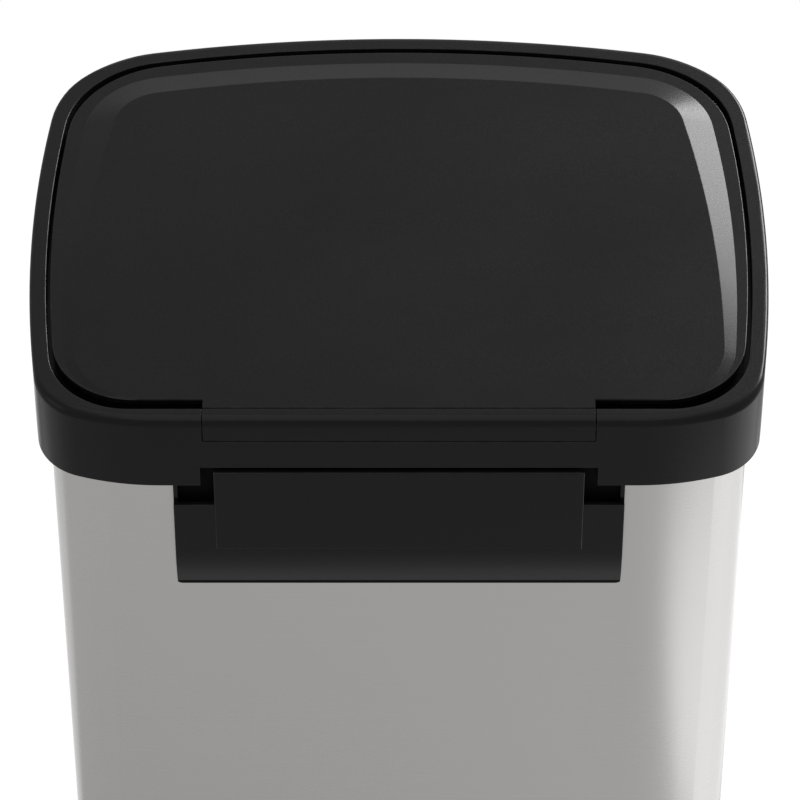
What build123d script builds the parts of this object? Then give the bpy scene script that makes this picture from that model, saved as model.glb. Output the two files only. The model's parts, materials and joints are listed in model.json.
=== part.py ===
from build123d import *
import os
from math import atan, cos, degrees, hypot, radians, sin, sqrt

# Recycling bin with a steel body, a hinged lid worked by a foot pedal, and two lift-out buckets.
# Millimetres, +Z up. The front (pedal) faces -Y, the hinge is at +Y, the origin is on the floor.
# "Depth" is a distance forward from the collar's straight rear face, "drop" one below its top.

# Plan shape of the collar: straight rear, bowed sides and front, round corners
COLLAR_WIDTH = 403.5
COLLAR_DEPTH = 311.7
SIDE_RADIUS = 838.0
WIDEST_DEPTH = 141.7
FRONT_RADIUS = 791.0
REAR_BEND_X = 128.0
REAR_BEND = 142.0
REAR_CORNER = 33.3
FRONT_CORNER = 67.8
TOP = 640.0
FIT = 0.3

# Rim collar
COLLAR_HEIGHT = 48.7
COLLAR_WALL = 2.6
SHOULDER = 5.5
RING_WIDTH = 9.0
RING_FRONT_WIDTH = 12.0
RING_REAR_CORNER = 48.0
RING_FRONT_CORNER = 60.7
LEDGE_DROP = 13.0
LEDGE_INSET = 24.0
LEDGE_FRONT_INSET = 28.0
MOUTH_REAR_DEPTH = 46.0
MOUTH_CORNER = 22.0
MOUTH_LIP_DROP = 24.0
SEAT_DROP = 20.5
SKIRT_DROP = 42.0
SKIRT_WALL = 2.4
NOTCH_HEIGHT = 12.9

# Body shell
OVERHANG = 7.3
SHELL_WALL = 0.8
SERVICE_HALF = 30.0
SERVICE_TOP_DROP = 78.0
SERVICE_BOTTOM_DROP = 118.0

# Lid
LID_GAP = 2.3
LID_FRONT_GAP = 3.4
LID_REAR_DEPTH = 15.3
LID_REAR_CORNER = 46.0
LID_FRONT_CORNER = 58.2
LID_SKIN = 2.8
LID_EDGE_ROUND = 0.8
MARGIN_WIDTH = 6.7
MARGIN_FRONT_WIDTH = 9.2
MARGIN_WIDEST_DEPTH = 125.1
MARGIN_CORNER = 40.0
MARGIN_FRONT_CORNER = 47.6
PLATEAU_INSET = 27.1
PLATEAU_FRONT_INSET = 43.1
PLATEAU_WIDEST_DEPTH = 76.9
PLATEAU_FRONT_CORNER = 27.8
PLATEAU_REAR_RISE = 0.4
PLATEAU_SLOPE = 0.0185
LID_SKIRT_DEPTH = 10.0
LID_SKIRT_WALL = 2.2
LID_SKIRT_REAR_DEPTH = 17.8
LID_SKIRT_CORNER = 43.8
LINER_WALL = 2.0
BOSS_RADIUS = 4.0
BUMPER_RADIUS = 3.4
BUMPER_FRONT_X = 60.0
BUMPER_FRONT_SPARE = 3.0
LID_SCREW_X = 130.0
LID_SCREW_REAR_DEPTH = 80.0
LID_SCREW_FRONT_DEPTH = 240.0

# Hinge
HINGE_HALF = 104.5
HINGE_END_GAP = 0.5
HINGE_DEPTH = 5.5
HINGE_DROP = 10.7
BARREL_RADIUS = 7.2
HINGE_GAP = 0.35
HINGE_PIN_RADIUS = 2.0
PIN_IN_BOSS = 18.0
PIN_IN_BARREL = 18.0
TAIL_FLANGE_DEPTH = 32.0
TAIL_FLANGE_WALL = 2.4
LID_SWING = 80.0

# Crank under the lid and the rod that lifts it
CRANK_RADIUS = 24.0
CRANK_REST_ANGLE = 35.0
CRANK_PLATE_WALL = 2.0
CRANK_INNER_HALF = 7.0
CRANK_EYE_RADIUS = 5.5
CRANK_FOOT_HALF = 22.0
CRANK_SLOT_SIDE = 5.0
GLIDE_RADIUS = 4.0
CRANK_PIN_RADIUS = 2.0
LIFT_GAP = 0.5
ROD_RADIUS = 3.0
ROD_DEPTH = 26.0
HEAD_HALF = 5.5
HEAD_LENGTH = 14.0
HEAD_HEIGHT = 16.0
ROD_SOCKET = 10.0
FOOT_RADIUS = 5.5
FOOT_HEIGHT = 18.0

# Channel, guides and damper behind the buckets
CHANNEL_HALF = 30.0
CHANNEL_WALL = 1.2
CHANNEL_FRONT_DEPTH = 44.0
CHANNEL_TOP_DROP = 48.0
GUIDE_HALF = 12.0
GUIDE_HEIGHT = 20.0
UPPER_GUIDE_DROP = 80.0
LOWER_GUIDE_Z = 120.0
DAMPER_X = 18.0
DAMPER_RADIUS = 7.0
DAMPER_BORE = 5.4
DAMPER_LENGTH = 80.0
DAMPER_TOP_DROP = 180.0
DAMPER_CAP = 4.0
PISTON_RADIUS = 5.1
PISTON_HEIGHT = 6.0
PISTON_ROD_RADIUS = 2.5
LINK_DROP = 140.0
LINK_HEIGHT = 10.0
LINK_HALF = 6.0
BRACKET_HEIGHT = 14.0
CLAMP_WALL = 3.0

# Rear cover
COVER_HALF = 121.2
COVER_WALL = 2.2
COVER_BOTTOM_DROP = 132.9
COVER_CURVE_DROP = 100.0
COVER_TOP_DROP = 64.3
COVER_BACK_TOP_DROP = 24.0
COVER_BACK_WALL = 1.4
COVER_SIDE_TOP_DROP = 44.0
PLATE_HALF = 99.3
PLATE_PROUD = 1.2
PLATE_WALL = 2.8
PLATE_TOP_DROP = 38.85
PLATE_BOTTOM_DROP = 98.0
COVER_SCREW_X = 104.0
COVER_SCREW_DROPS = (74.0, 112.0)

# Base
FEET_HEIGHT = 4.0
FOOT_PAD_RADIUS = 12.0
FOOT_PAD_X = 160.0
FOOT_PAD_REAR_DEPTH = 36.0
FOOT_PAD_FRONT_DEPTH = 250.0
PLINTH_TOP = 54.0
PLINTH_PROUD = 1.0
PLINTH_WALL = 2.4
PLINTH_COLLAR = 16.0
PLINTH_FLANGE = 46.0
PLINTH_OPENING_CORNER = 12.0
PLINTH_FLANGE_WALL = 2.5
FLOOR_Z = 64.0
FLOOR_WALL = 2.0
FLOOR_LEDGE = 12.0
RIDGE_HALF = 8.0
RIDGE_HEIGHT = 8.0

# Pedal
PEDAL_REACH = 26.0
PEDAL_HALF = 52.0
PEDAL_BACK_INSET = 3.0
PEDAL_BOTTOM = 36.0
PEDAL_TOP = 50.0
PEDAL_ROUND = 3.0
TREAD_BORDER = 5.0
TREAD_HEIGHT = 2.0
TREAD_GROOVES = 5
TREAD_GROOVE_WIDTH = 1.6
PIVOT_DEPTH = 202.0
PIVOT_Z = 30.0
PIVOT_PIN_RADIUS = 3.0
LEVER_HALF = 18.0
LEVER_HEIGHT = 12.0
LEVER_WALL = 2.0
LEVER_FRONT_SPARE = 8.7
LEVER_REAR_SPARE = 8.0
PEDAL_GAP = 0.4
BRACKET_INNER_HALF = 22.0
BRACKET_WALL = 2.0
BRACKET_SPAN = 14.0
BRACKET_FLANGE = 20.0
BUSH_RADIUS = 5.0
CLIP_RADIUS = 5.5
CLIP_WALL = 1.0
SLOT_SIDE = 6.0
SLOT_BOTTOM = 11.0
SLOT_TOP = 50.0

# Buckets
BUCKET_INSET = 30.0
BUCKET_FRONT_INSET = 34.0
BUCKET_REAR_DEPTH = 52.0
BUCKET_WALL = 2.0
BUCKET_CENTRE_GAP = 5.5
BUCKET_CORNER = 24.0
BUCKET_TOP_DROP = 28.0
BUCKET_DRAFT = 0.8
BUCKET_LIP = 4.5
BUCKET_LIP_WALL = 3.0
BUCKET_LIP_SKIRT = 10.0

# Screws and running clearances
SCREW_RADIUS = 1.5
SCREW_HEAD_RADIUS = 3.0
SCREW_HEAD_HEIGHT = 1.4
SCREW_HOLE_GAP = 0.1
RUNNING = 0.05
PRESS = 0.02

# Places that follow from the sizes above
REAR = (COLLAR_DEPTH + PEDAL_REACH - PLATE_PROUD) / 2
HINGE_Y = REAR - HINGE_DEPTH
HINGE_Z = TOP - HINGE_DROP
TAIL_HALF = HINGE_HALF - HINGE_END_GAP
ROD_Y = REAR - ROD_DEPTH
PIVOT_Y = REAR - PIVOT_DEPTH
SKIRT_INSET = OVERHANG + SHELL_WALL + FIT
SKIRT_INNER = SKIRT_INSET + SKIRT_WALL
LID_INSET = RING_WIDTH + LID_GAP
LID_FRONT_INSET = RING_FRONT_WIDTH + LID_FRONT_GAP
MARGIN_INSET = LID_INSET + MARGIN_WIDTH
MARGIN_FRONT_INSET = LID_FRONT_INSET + MARGIN_FRONT_WIDTH
LID_SKIRT_INSET = LID_INSET + LID_SKIRT_WALL
LID_SKIRT_FRONT_INSET = LID_FRONT_INSET + LID_SKIRT_WALL
PLINTH_INNER = SKIRT_INSET + PLINTH_WALL
ROD_WAY_RADIUS = FOOT_RADIUS * sqrt(2) + FIT
FLOOR_TOP = FLOOR_Z + FLOOR_WALL
LEVER_FRONT_LENGTH = COLLAR_DEPTH + PEDAL_REACH - LEVER_FRONT_SPARE - PIVOT_DEPTH

# Travel of the rod and swing of the pedal over the lid's full swing
CRANK_OPEN_ANGLE = LID_SWING - CRANK_REST_ANGLE
LIFT = CRANK_RADIUS * (sin(radians(CRANK_REST_ANGLE)) + sin(radians(CRANK_OPEN_ANGLE)))
REAR_ARM = PIVOT_DEPTH - ROD_DEPTH
PEDAL_SWING = 2 * degrees(atan(LIFT / (2 * REAR_ARM)))
GLIDE_Y = HINGE_Y - CRANK_RADIUS * cos(radians(CRANK_REST_ANGLE))
GLIDE_Z = HINGE_Z - CRANK_RADIUS * sin(radians(CRANK_REST_ANGLE))
HEAD_TOP = GLIDE_Z - GLIDE_RADIUS - LIFT_GAP


def circles_meet(centre_a, radius_a, centre_b, radius_b):
    """The two crossings of two circles."""
    dx = centre_b[0] - centre_a[0]
    dy = centre_b[1] - centre_a[1]
    span = hypot(dx, dy)
    along = (radius_a**2 - radius_b**2 + span**2) / (2 * span)
    across = sqrt(radius_a**2 - along**2)
    middle = (centre_a[0] + along * dx / span, centre_a[1] + along * dy / span)
    first = (middle[0] + across * dy / span, middle[1] - across * dx / span)
    second = (middle[0] - across * dy / span, middle[1] + across * dx / span)
    return [first, second]


def toward(centre, target, distance):
    """The point at a distance from a centre, in the direction of a target."""
    dx = target[0] - centre[0]
    dy = target[1] - centre[1]
    scale = distance / hypot(dx, dy)
    return (centre[0] + dx * scale, centre[1] + dy * scale)


def arc(centre, start, end):
    """A short arc about a centre, given by its two ends."""
    radius = hypot(start[0] - centre[0], start[1] - centre[1])
    halfway = ((start[0] + end[0]) / 2, (start[1] + end[1]) / 2)
    return ThreePointArc(start, toward(centre, halfway, radius), end)


def outline(inset, rear=None, corner=None, front=None, front_corner=None, widest=WIDEST_DEPTH):
    """The collar's plan outline moved inwards, with the rear and the corners free to differ."""
    rear = inset if rear is None else rear
    front = inset if front is None else front
    front_corner = FRONT_CORNER - inset if front_corner is None else front_corner
    side_radius = SIDE_RADIUS - inset
    front_radius = FRONT_RADIUS - front
    side_centre = (COLLAR_WIDTH / 2 - SIDE_RADIUS, REAR - widest)
    front_centre = (0, REAR - COLLAR_DEPTH + FRONT_RADIUS)
    if corner is None:
        corner = REAR_CORNER - inset
        bend = REAR_BEND - rear
        bend_centre = (REAR_BEND_X, REAR - REAR_BEND)
        crossings = circles_meet(bend_centre, bend - corner, side_centre, side_radius - corner)
        rear_centre = max(crossings, key=lambda point: point[1])
        rear_end = (REAR_BEND_X, REAR - rear)
        bend_end = toward(bend_centre, rear_centre, bend)
        right = [arc(bend_centre, rear_end, bend_end)]
    else:
        corner_y = REAR - rear - corner
        corner_x = side_centre[0] + sqrt((side_radius - corner)**2 - (corner_y - side_centre[1])**2)
        rear_centre = (corner_x, corner_y)
        rear_end = (corner_x, REAR - rear)
        bend_end = rear_end
        right = []
    bow_centre = max(circles_meet(side_centre, side_radius - front_corner,
                                  front_centre, front_radius - front_corner))
    side_start = toward(side_centre, rear_centre, side_radius)
    side_end = toward(side_centre, bow_centre, side_radius)
    front_start = toward(front_centre, bow_centre, front_radius)
    right += [arc(rear_centre, bend_end, side_start),
              arc(side_centre, side_start, side_end),
              arc(bow_centre, side_end, front_start)]
    left = [edge.mirror(Plane.YZ) for edge in right]
    far_left = (-front_start[0], front_start[1])
    bow = ThreePointArc(front_start, (0, front_centre[1] - front_radius), far_left)
    back = Line((-rear_end[0], REAR - rear), rear_end)
    return Face(Wire(right + [bow] + left + [back]))


def slab(face, low, high):
    """A plan face made solid between two heights."""
    return extrude(Pos(0, 0, low) * face, amount=high - low, dir=(0, 0, 1))


def ring(outer, inner, low, high):
    """A wall that follows the outline between two insets."""
    return slab(outline(outer), low, high) - slab(outline(inner), low - 1, high + 1)


def block(x_low, x_high, depth_low, depth_high, low, high):
    """A box between two X places, two depths and two heights."""
    size = (x_high - x_low, depth_high - depth_low, high - low)
    centre = ((x_low + x_high) / 2, REAR - (depth_low + depth_high) / 2, (low + high) / 2)
    return Pos(*centre) * Box(*size)


def bar_x(radius, x_low, x_high, y, z):
    """A round bar along X."""
    return Pos((x_low + x_high) / 2, y, z) * Rot(0, 90, 0) * Cylinder(radius, x_high - x_low)


def bar_y(radius, x, depth_low, depth_high, z):
    """A round bar along Y, between two depths."""
    y = REAR - (depth_low + depth_high) / 2
    return Pos(x, y, z) * Rot(90, 0, 0) * Cylinder(radius, depth_high - depth_low)


def bar_z(radius, x, y, low, high):
    """A round bar along Z."""
    return Pos(x, y, (low + high) / 2) * Cylinder(radius, high - low)


def screw_up(x, y, seat, length):
    """A screw whose head hangs under a seat and whose shank goes up."""
    head = bar_z(SCREW_HEAD_RADIUS, x, y, seat - SCREW_HEAD_HEIGHT, seat)
    return head + bar_z(SCREW_RADIUS, x, y, seat, seat + length)


def screw_hole_up(x, y, low, high):
    return bar_z(SCREW_RADIUS + SCREW_HOLE_GAP, x, y, low, high)


def mirrored(shape):
    """A shape together with its mirror image across the middle plane."""
    return shape + shape.mirror(Plane.YZ)


# Collar

def mouth(grow=0.0):
    """The opening that the buckets pass, grown outwards by a wall if asked."""
    return outline(LEDGE_INSET - grow, rear=MOUTH_REAR_DEPTH - grow, corner=MOUTH_CORNER + grow,
                   front=LEDGE_FRONT_INSET - grow)


def groove(grow=0.0):
    """The inner edge of the collar's top ring, grown outwards by a wall if asked."""
    return outline(RING_WIDTH - grow, corner=RING_REAR_CORNER + grow, front=RING_FRONT_WIDTH - grow,
                   front_corner=RING_FRONT_CORNER + grow)


COLLAR_SCREW_Z = TOP - (SEAT_DROP + SKIRT_DROP) / 2
COLLAR_SCREW_X = 130.0


def collar_screw(radius, head):
    """Screws from inside through the collar's skirt and the shell, at the rear, sides and front."""
    outer = OVERHANG - 1.0
    inner = SKIRT_INNER + head
    side = COLLAR_WIDTH / 2
    widest_y = REAR - WIDEST_DEPTH
    shape = bar_y(radius, COLLAR_SCREW_X, outer, inner, COLLAR_SCREW_Z)
    shape += bar_x(radius, side - inner, side - outer, widest_y, COLLAR_SCREW_Z)
    front = bar_y(radius, 0, COLLAR_DEPTH - inner, COLLAR_DEPTH - outer, COLLAR_SCREW_Z)
    return mirrored(shape) + front


def collar_screws():
    shanks = collar_screw(SCREW_RADIUS, SCREW_HEAD_HEIGHT)
    heads = collar_screw(SCREW_HEAD_RADIUS, SCREW_HEAD_HEIGHT)
    return shanks + (heads & slab(outline(SKIRT_INNER), 0, TOP))


def rim_collar():
    wall = ring(0, COLLAR_WALL, TOP - COLLAR_HEIGHT, TOP)
    wall += slab(outline(0), TOP - COLLAR_WALL, TOP) - slab(groove(), 0, TOP + 1)
    top_face = wall.faces().sort_by(Axis.Z)[-1]
    collar = fillet(top_face.outer_wire().edges(), SHOULDER)
    collar += slab(groove(COLLAR_WALL), TOP - LEDGE_DROP, TOP) - slab(groove(), 0, TOP + 1)
    collar += slab(outline(OVERHANG - COLLAR_WALL), TOP - LEDGE_DROP - COLLAR_WALL, TOP - LEDGE_DROP)
    collar += ring(OVERHANG - COLLAR_WALL, SKIRT_INNER, TOP - SEAT_DROP, TOP - LEDGE_DROP)
    collar += ring(SKIRT_INSET, SKIRT_INNER, TOP - SKIRT_DROP, TOP - LEDGE_DROP)
    collar += slab(mouth(COLLAR_WALL), TOP - MOUTH_LIP_DROP, TOP - LEDGE_DROP)
    collar -= slab(mouth(), 0, TOP)
    boss_half = HINGE_HALF + PIN_IN_BOSS + COLLAR_WALL
    collar += block(-boss_half, boss_half, 0, SKIRT_INNER, TOP - SEAT_DROP, TOP - SHOULDER)
    collar -= block(-HINGE_HALF, HINGE_HALF, -1, HINGE_DEPTH + 1, HINGE_Z, TOP + 1)
    collar -= block(-HINGE_HALF, HINGE_HALF, HINGE_DEPTH, SKIRT_INNER + 1, TOP - LEDGE_DROP, TOP + 1)
    collar -= bar_x(BARREL_RADIUS + HINGE_GAP, -HINGE_HALF, HINGE_HALF, HINGE_Y, HINGE_Z)
    pin_reach = HINGE_HALF + PIN_IN_BOSS
    collar -= bar_x(HINGE_PIN_RADIUS + PRESS, -pin_reach, pin_reach, HINGE_Y, HINGE_Z)
    notch_top = TOP - COLLAR_HEIGHT + NOTCH_HEIGHT
    collar -= block(-HINGE_HALF, HINGE_HALF, -1, COLLAR_WALL + 1, 0, notch_top)
    slot_half = CRANK_INNER_HALF + CRANK_PLATE_WALL + CRANK_SLOT_SIDE
    slot_front = HINGE_DEPTH + CRANK_RADIUS + CRANK_EYE_RADIUS + 1
    slot_low = TOP - LEDGE_DROP - COLLAR_WALL - 1
    collar -= block(-slot_half, slot_half, SKIRT_INNER, slot_front, slot_low, TOP)
    collar -= collar_screw(SCREW_RADIUS + SCREW_HOLE_GAP, 1)
    return collar


def hinge_pins():
    start = TAIL_HALF - PIN_IN_BARREL
    return mirrored(bar_x(HINGE_PIN_RADIUS, start, HINGE_HALF + PIN_IN_BOSS, HINGE_Y, HINGE_Z))


# Body

def cover_screw_places():
    return [(x, drop) for x in (-COVER_SCREW_X, COVER_SCREW_X) for drop in COVER_SCREW_DROPS]


def body_shell():
    shell = ring(OVERHANG, OVERHANG + SHELL_WALL, PLINTH_TOP, TOP - SEAT_DROP)
    service_low = TOP - SERVICE_BOTTOM_DROP
    shell -= block(-SERVICE_HALF, SERVICE_HALF, 0, SKIRT_INSET, service_low, TOP - SERVICE_TOP_DROP)
    for x, drop in cover_screw_places():
        shell -= bar_y(SCREW_RADIUS + SCREW_HOLE_GAP, x, 0, SKIRT_INSET, TOP - drop)
    shell -= collar_screw(SCREW_RADIUS + SCREW_HOLE_GAP, 1)
    return shell


def cover_profile(wall, half, top_drop):
    """The cover's side profile, inset by a wall, as a solid of a given half width."""
    radius_drop = COVER_BOTTOM_DROP - COVER_CURVE_DROP
    radius = (radius_drop**2 + OVERHANG**2) / (2 * OVERHANG)
    low = TOP - COVER_BOTTOM_DROP
    bend = TOP - COVER_CURVE_DROP
    back = REAR - OVERHANG
    inner = radius - wall
    drop = sqrt(inner**2 - (radius - OVERHANG)**2)
    middle = toward((REAR - radius, bend), (REAR - radius + 1, bend - drop / (2 * inner)), inner)
    low = bend - drop
    path = [Line((back, TOP - top_drop), (REAR - wall, TOP - top_drop)),
            Line((REAR - wall, TOP - top_drop), (REAR - wall, bend)),
            ThreePointArc((REAR - wall, bend), middle, (back, low)),
            Line((back, low), (back, TOP - top_drop))]
    face = Plane((0, 0, 0), x_dir=(0, 1, 0), z_dir=(1, 0, 0)) * Face(Wire(path))
    return Pos(-half, 0, 0) * extrude(face, amount=2 * half, dir=(1, 0, 0))


def rear_cover():
    cover = cover_profile(0, COVER_HALF, COVER_TOP_DROP)
    sides = block(-COVER_HALF, COVER_HALF, COLLAR_WALL + FIT, OVERHANG,
                  TOP - COVER_TOP_DROP - 1, TOP - COVER_SIDE_TOP_DROP)
    cover += sides
    inner_half = COVER_HALF - COVER_WALL
    cover -= cover_profile(COVER_WALL, inner_half, COVER_SIDE_TOP_DROP - 1)
    cover -= block(-inner_half, inner_half, -1, OVERHANG, TOP - COVER_TOP_DROP, TOP)
    cover += block(-COVER_HALF, COVER_HALF, OVERHANG - COVER_BACK_WALL, OVERHANG,
                   TOP - PLATE_BOTTOM_DROP, TOP - COVER_BACK_TOP_DROP)
    cover += block(-PLATE_HALF, PLATE_HALF, -PLATE_PROUD, PLATE_WALL - PLATE_PROUD,
                   TOP - PLATE_BOTTOM_DROP, TOP - PLATE_TOP_DROP)
    for x, drop in cover_screw_places():
        boss = bar_y(BOSS_RADIUS, x, COVER_WALL / 2, OVERHANG, TOP - drop)
        cover += boss & cover_profile(0, COVER_HALF, 0)
        cover -= bar_y(SCREW_RADIUS, x, COVER_WALL + 1, OVERHANG + 1, TOP - drop)
    return cover


def cover_screws():
    seat = OVERHANG + SHELL_WALL
    screws = []
    for x, drop in cover_screw_places():
        head = bar_y(SCREW_HEAD_RADIUS, x, seat, seat + SCREW_HEAD_HEIGHT, TOP - drop)
        screws.append(head + bar_y(SCREW_RADIUS, x, COVER_WALL + 1.5, seat, TOP - drop))
    return Compound(screws)


# Lid

def plateau_height(depth):
    """Height of the raised plateau above the collar's top, which grows towards the front."""
    return PLATEAU_REAR_RISE + PLATEAU_SLOPE * (depth - LID_REAR_DEPTH)


def plateau(wall, low):
    """The raised middle of the lid, or with a wall the hollow beneath it."""
    rear = LID_REAR_DEPTH if wall == 0 else TAIL_FLANGE_DEPTH + LINER_WALL
    corner = MARGIN_CORNER - wall
    base = outline(MARGIN_INSET + wall, rear=rear, corner=corner, front=MARGIN_FRONT_INSET + wall,
                   front_corner=MARGIN_FRONT_CORNER, widest=MARGIN_WIDEST_DEPTH)
    crown = outline(PLATEAU_INSET + wall, rear=rear, corner=corner, front=PLATEAU_FRONT_INSET + wall,
                    front_corner=PLATEAU_FRONT_CORNER, widest=PLATEAU_WIDEST_DEPTH)
    hinge_line = Pos(0, REAR - rear, TOP + plateau_height(rear) - wall)
    tilted = hinge_line * Rot(-degrees(atan(PLATEAU_SLOPE)), 0, 0) * Pos(0, rear - REAR, 0) * crown
    return loft([Pos(0, 0, low) * base, tilted], ruled=True)


def lid_screw_places():
    depths = (LID_SCREW_REAR_DEPTH, LID_SCREW_FRONT_DEPTH)
    return [(x, REAR - depth) for x in (-LID_SCREW_X, 0.0, LID_SCREW_X) for depth in depths]


TAIL_SCREW_X = (44.0, 86.0)
TAIL_SCREW_DEPTH = 24.0
CRANK_SCREW_X = 16.0


def tail_screw_places():
    y = REAR - TAIL_SCREW_DEPTH
    return [(side * x, y) for x in TAIL_SCREW_X for side in (-1, 1)]


def crank_screw_places():
    y = REAR - TAIL_SCREW_DEPTH
    return [(-CRANK_SCREW_X, y), (CRANK_SCREW_X, y)]


def lid_inner(grow):
    """The lid skirt's outline, moved inwards."""
    rear = LID_SKIRT_REAR_DEPTH + grow
    return outline(LID_SKIRT_INSET + grow, rear=rear, corner=LID_SKIRT_CORNER - grow,
                   front=LID_SKIRT_FRONT_INSET + grow, front_corner=LID_FRONT_CORNER - LID_SKIRT_WALL - grow)


def lid_shell():
    margin = outline(LID_INSET, rear=LID_REAR_DEPTH, corner=LID_REAR_CORNER, front=LID_FRONT_INSET,
                     front_corner=LID_FRONT_CORNER)
    lid = slab(margin, TOP - LID_SKIN, TOP)
    lid = fillet(lid.faces().sort_by(Axis.Z)[-1].outer_wire().edges(), LID_EDGE_ROUND)
    lid += plateau(0, TOP - LID_SKIN / 2)
    lid += block(-TAIL_HALF, TAIL_HALF, RING_WIDTH + FIT, LID_REAR_DEPTH + 2,
                 TOP - LID_SKIN, TOP + PLATEAU_REAR_RISE)
    skirt = slab(lid_inner(0), TOP - LID_SKIRT_DEPTH, TOP - LID_SKIN / 2)
    skirt -= slab(lid_inner(LID_SKIRT_WALL), 0, TOP - LID_SKIN)
    flange_zone = TAIL_HALF + FIT
    skirt -= block(-flange_zone, flange_zone, 0, TAIL_FLANGE_DEPTH + FIT, 0, TOP - LID_SKIN)
    lid += skirt
    lid -= plateau(LID_SKIRT_WALL, TOP - LID_SKIN - 1)
    for x, y in lid_screw_places():
        skin = TOP + plateau_height(REAR - y) - LID_SKIRT_WALL / 2
        lid += bar_z(BOSS_RADIUS, x, y, TOP - LID_SKIRT_DEPTH + LINER_WALL, skin)
        lid -= bar_z(SCREW_RADIUS, x, y, 0, TOP - LID_SKIN)
    for x, y in tail_screw_places() + crank_screw_places():
        lid -= bar_z(SCREW_RADIUS, x, y, 0, TOP - LID_SKIN / 2)
    return lid


def lid_liner():
    low = TOP - LID_SKIRT_DEPTH
    liner = slab(lid_inner(LID_SKIRT_WALL + FIT), low, low + LINER_WALL)
    crank_half = CRANK_FOOT_HALF + 2
    liner -= block(-crank_half, crank_half, 0, TAIL_FLANGE_DEPTH + 4, low - 1, TOP)
    for x, y in tail_screw_places():
        liner -= bar_z(SCREW_HEAD_RADIUS + 1, x, y, low - 1, TOP)
    for x, y in lid_screw_places():
        liner -= screw_hole_up(x, y, low - 1, TOP)
    return liner


def lid_screws():
    low = TOP - LID_SKIRT_DEPTH
    length = LID_SKIRT_DEPTH - LID_SKIN - 1
    return Compound([screw_up(x, y, low, length) for x, y in lid_screw_places()])


def lid_bumpers():
    """Soft stops under the liner that land on the collar's ledge."""
    top = TOP - LID_SKIRT_DEPTH
    inward = LID_SKIRT_WALL + FIT + BUMPER_RADIUS
    side = COLLAR_WIDTH / 2 - LID_SKIRT_INSET - inward
    front_y = REAR - COLLAR_DEPTH + LID_SKIRT_FRONT_INSET + inward + BUMPER_FRONT_SPARE
    places = [(side, REAR - WIDEST_DEPTH), (-side, REAR - WIDEST_DEPTH),
              (-BUMPER_FRONT_X, front_y), (BUMPER_FRONT_X, front_y)]
    height = LEDGE_DROP - LID_SKIRT_DEPTH - FIT
    return Compound([bar_z(BUMPER_RADIUS, x, y, top - height, top) for x, y in places])


def hinge_tail():
    """The strip behind the lid with the hinge barrel, and its flange under the lid's rear edge."""
    strip = block(-TAIL_HALF, TAIL_HALF, 0, RING_WIDTH, HINGE_Z, TOP)
    edge = strip.edges().filter_by(Axis.X).sort_by(lambda e: e.center().Y + e.center().Z)[-1]
    strip = fillet(edge, SHOULDER)
    barrel = bar_x(BARREL_RADIUS, -TAIL_HALF, TAIL_HALF, HINGE_Y, HINGE_Z)
    barrel &= block(-TAIL_HALF, TAIL_HALF, 0, LID_REAR_DEPTH, 0, TOP)
    tail = strip + barrel
    flange_top = TOP - LID_SKIN
    flange_low = flange_top - TAIL_FLANGE_WALL
    tail += block(-TAIL_HALF, TAIL_HALF, RING_WIDTH - 1, TAIL_FLANGE_DEPTH, flange_low, flange_top)
    for side in (-1, 1):
        end = side * TAIL_HALF
        start = side * (TAIL_HALF - PIN_IN_BARREL)
        tail -= bar_x(HINGE_PIN_RADIUS + RUNNING, min(start, end), max(start, end), HINGE_Y, HINGE_Z)
    for x, y in tail_screw_places() + crank_screw_places():
        tail -= screw_hole_up(x, y, flange_low - 1, flange_top + 1)
    return tail


def tail_screws():
    seat = TOP - LID_SKIN - TAIL_FLANGE_WALL
    length = TAIL_FLANGE_WALL + LID_SKIN / 2 - 0.2
    screws = [screw_up(x, y, seat, length) for x, y in tail_screw_places()]
    crank_seat = seat - CRANK_PLATE_WALL
    screws += [screw_up(x, y, crank_seat, length + CRANK_PLATE_WALL) for x, y in crank_screw_places()]
    return Compound(screws)


def lid_crank():
    """A bent steel bracket: a foot under the flange and two cheeks down to the crank pin."""
    top = TOP - LID_SKIN - TAIL_FLANGE_WALL
    foot_rear = HINGE_DEPTH + BARREL_RADIUS + 2
    foot_low = top - CRANK_PLATE_WALL
    crank = block(-CRANK_FOOT_HALF, CRANK_FOOT_HALF, foot_rear, TAIL_FLANGE_DEPTH, foot_low, top)
    cheek_top = top - CRANK_PLATE_WALL / 2
    corners = [(REAR - foot_rear, cheek_top), (REAR - TAIL_FLANGE_DEPTH, cheek_top),
               (GLIDE_Y - CRANK_EYE_RADIUS, GLIDE_Z), (GLIDE_Y + CRANK_EYE_RADIUS, GLIDE_Z)]
    face = Plane((0, 0, 0), x_dir=(0, 1, 0), z_dir=(1, 0, 0)) * make_face(Polyline(*corners, close=True))
    outer = CRANK_INNER_HALF + CRANK_PLATE_WALL
    cheek = Pos(CRANK_INNER_HALF, 0, 0) * extrude(face, amount=CRANK_PLATE_WALL, dir=(1, 0, 0))
    cheek += bar_x(CRANK_EYE_RADIUS, CRANK_INNER_HALF, outer, GLIDE_Y, GLIDE_Z)
    crank += mirrored(cheek)
    crank -= bar_x(CRANK_PIN_RADIUS + PRESS, -outer - 1, outer + 1, GLIDE_Y, GLIDE_Z)
    for x, y in crank_screw_places():
        crank -= screw_hole_up(x, y, foot_low - 1, top + 1)
    return crank


def crank_pin():
    outer = CRANK_INNER_HALF + CRANK_PLATE_WALL
    head = bar_x(CRANK_PIN_RADIUS + 1, outer, outer + 1, GLIDE_Y, GLIDE_Z)
    return bar_x(CRANK_PIN_RADIUS, -outer - 1, outer + 1, GLIDE_Y, GLIDE_Z) + mirrored(head)


def crank_glide():
    half = CRANK_INNER_HALF - FIT
    glide = bar_x(GLIDE_RADIUS, -half, half, GLIDE_Y, GLIDE_Z)
    return glide - bar_x(CRANK_PIN_RADIUS + PRESS, -half - 1, half + 1, GLIDE_Y, GLIDE_Z)


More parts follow.
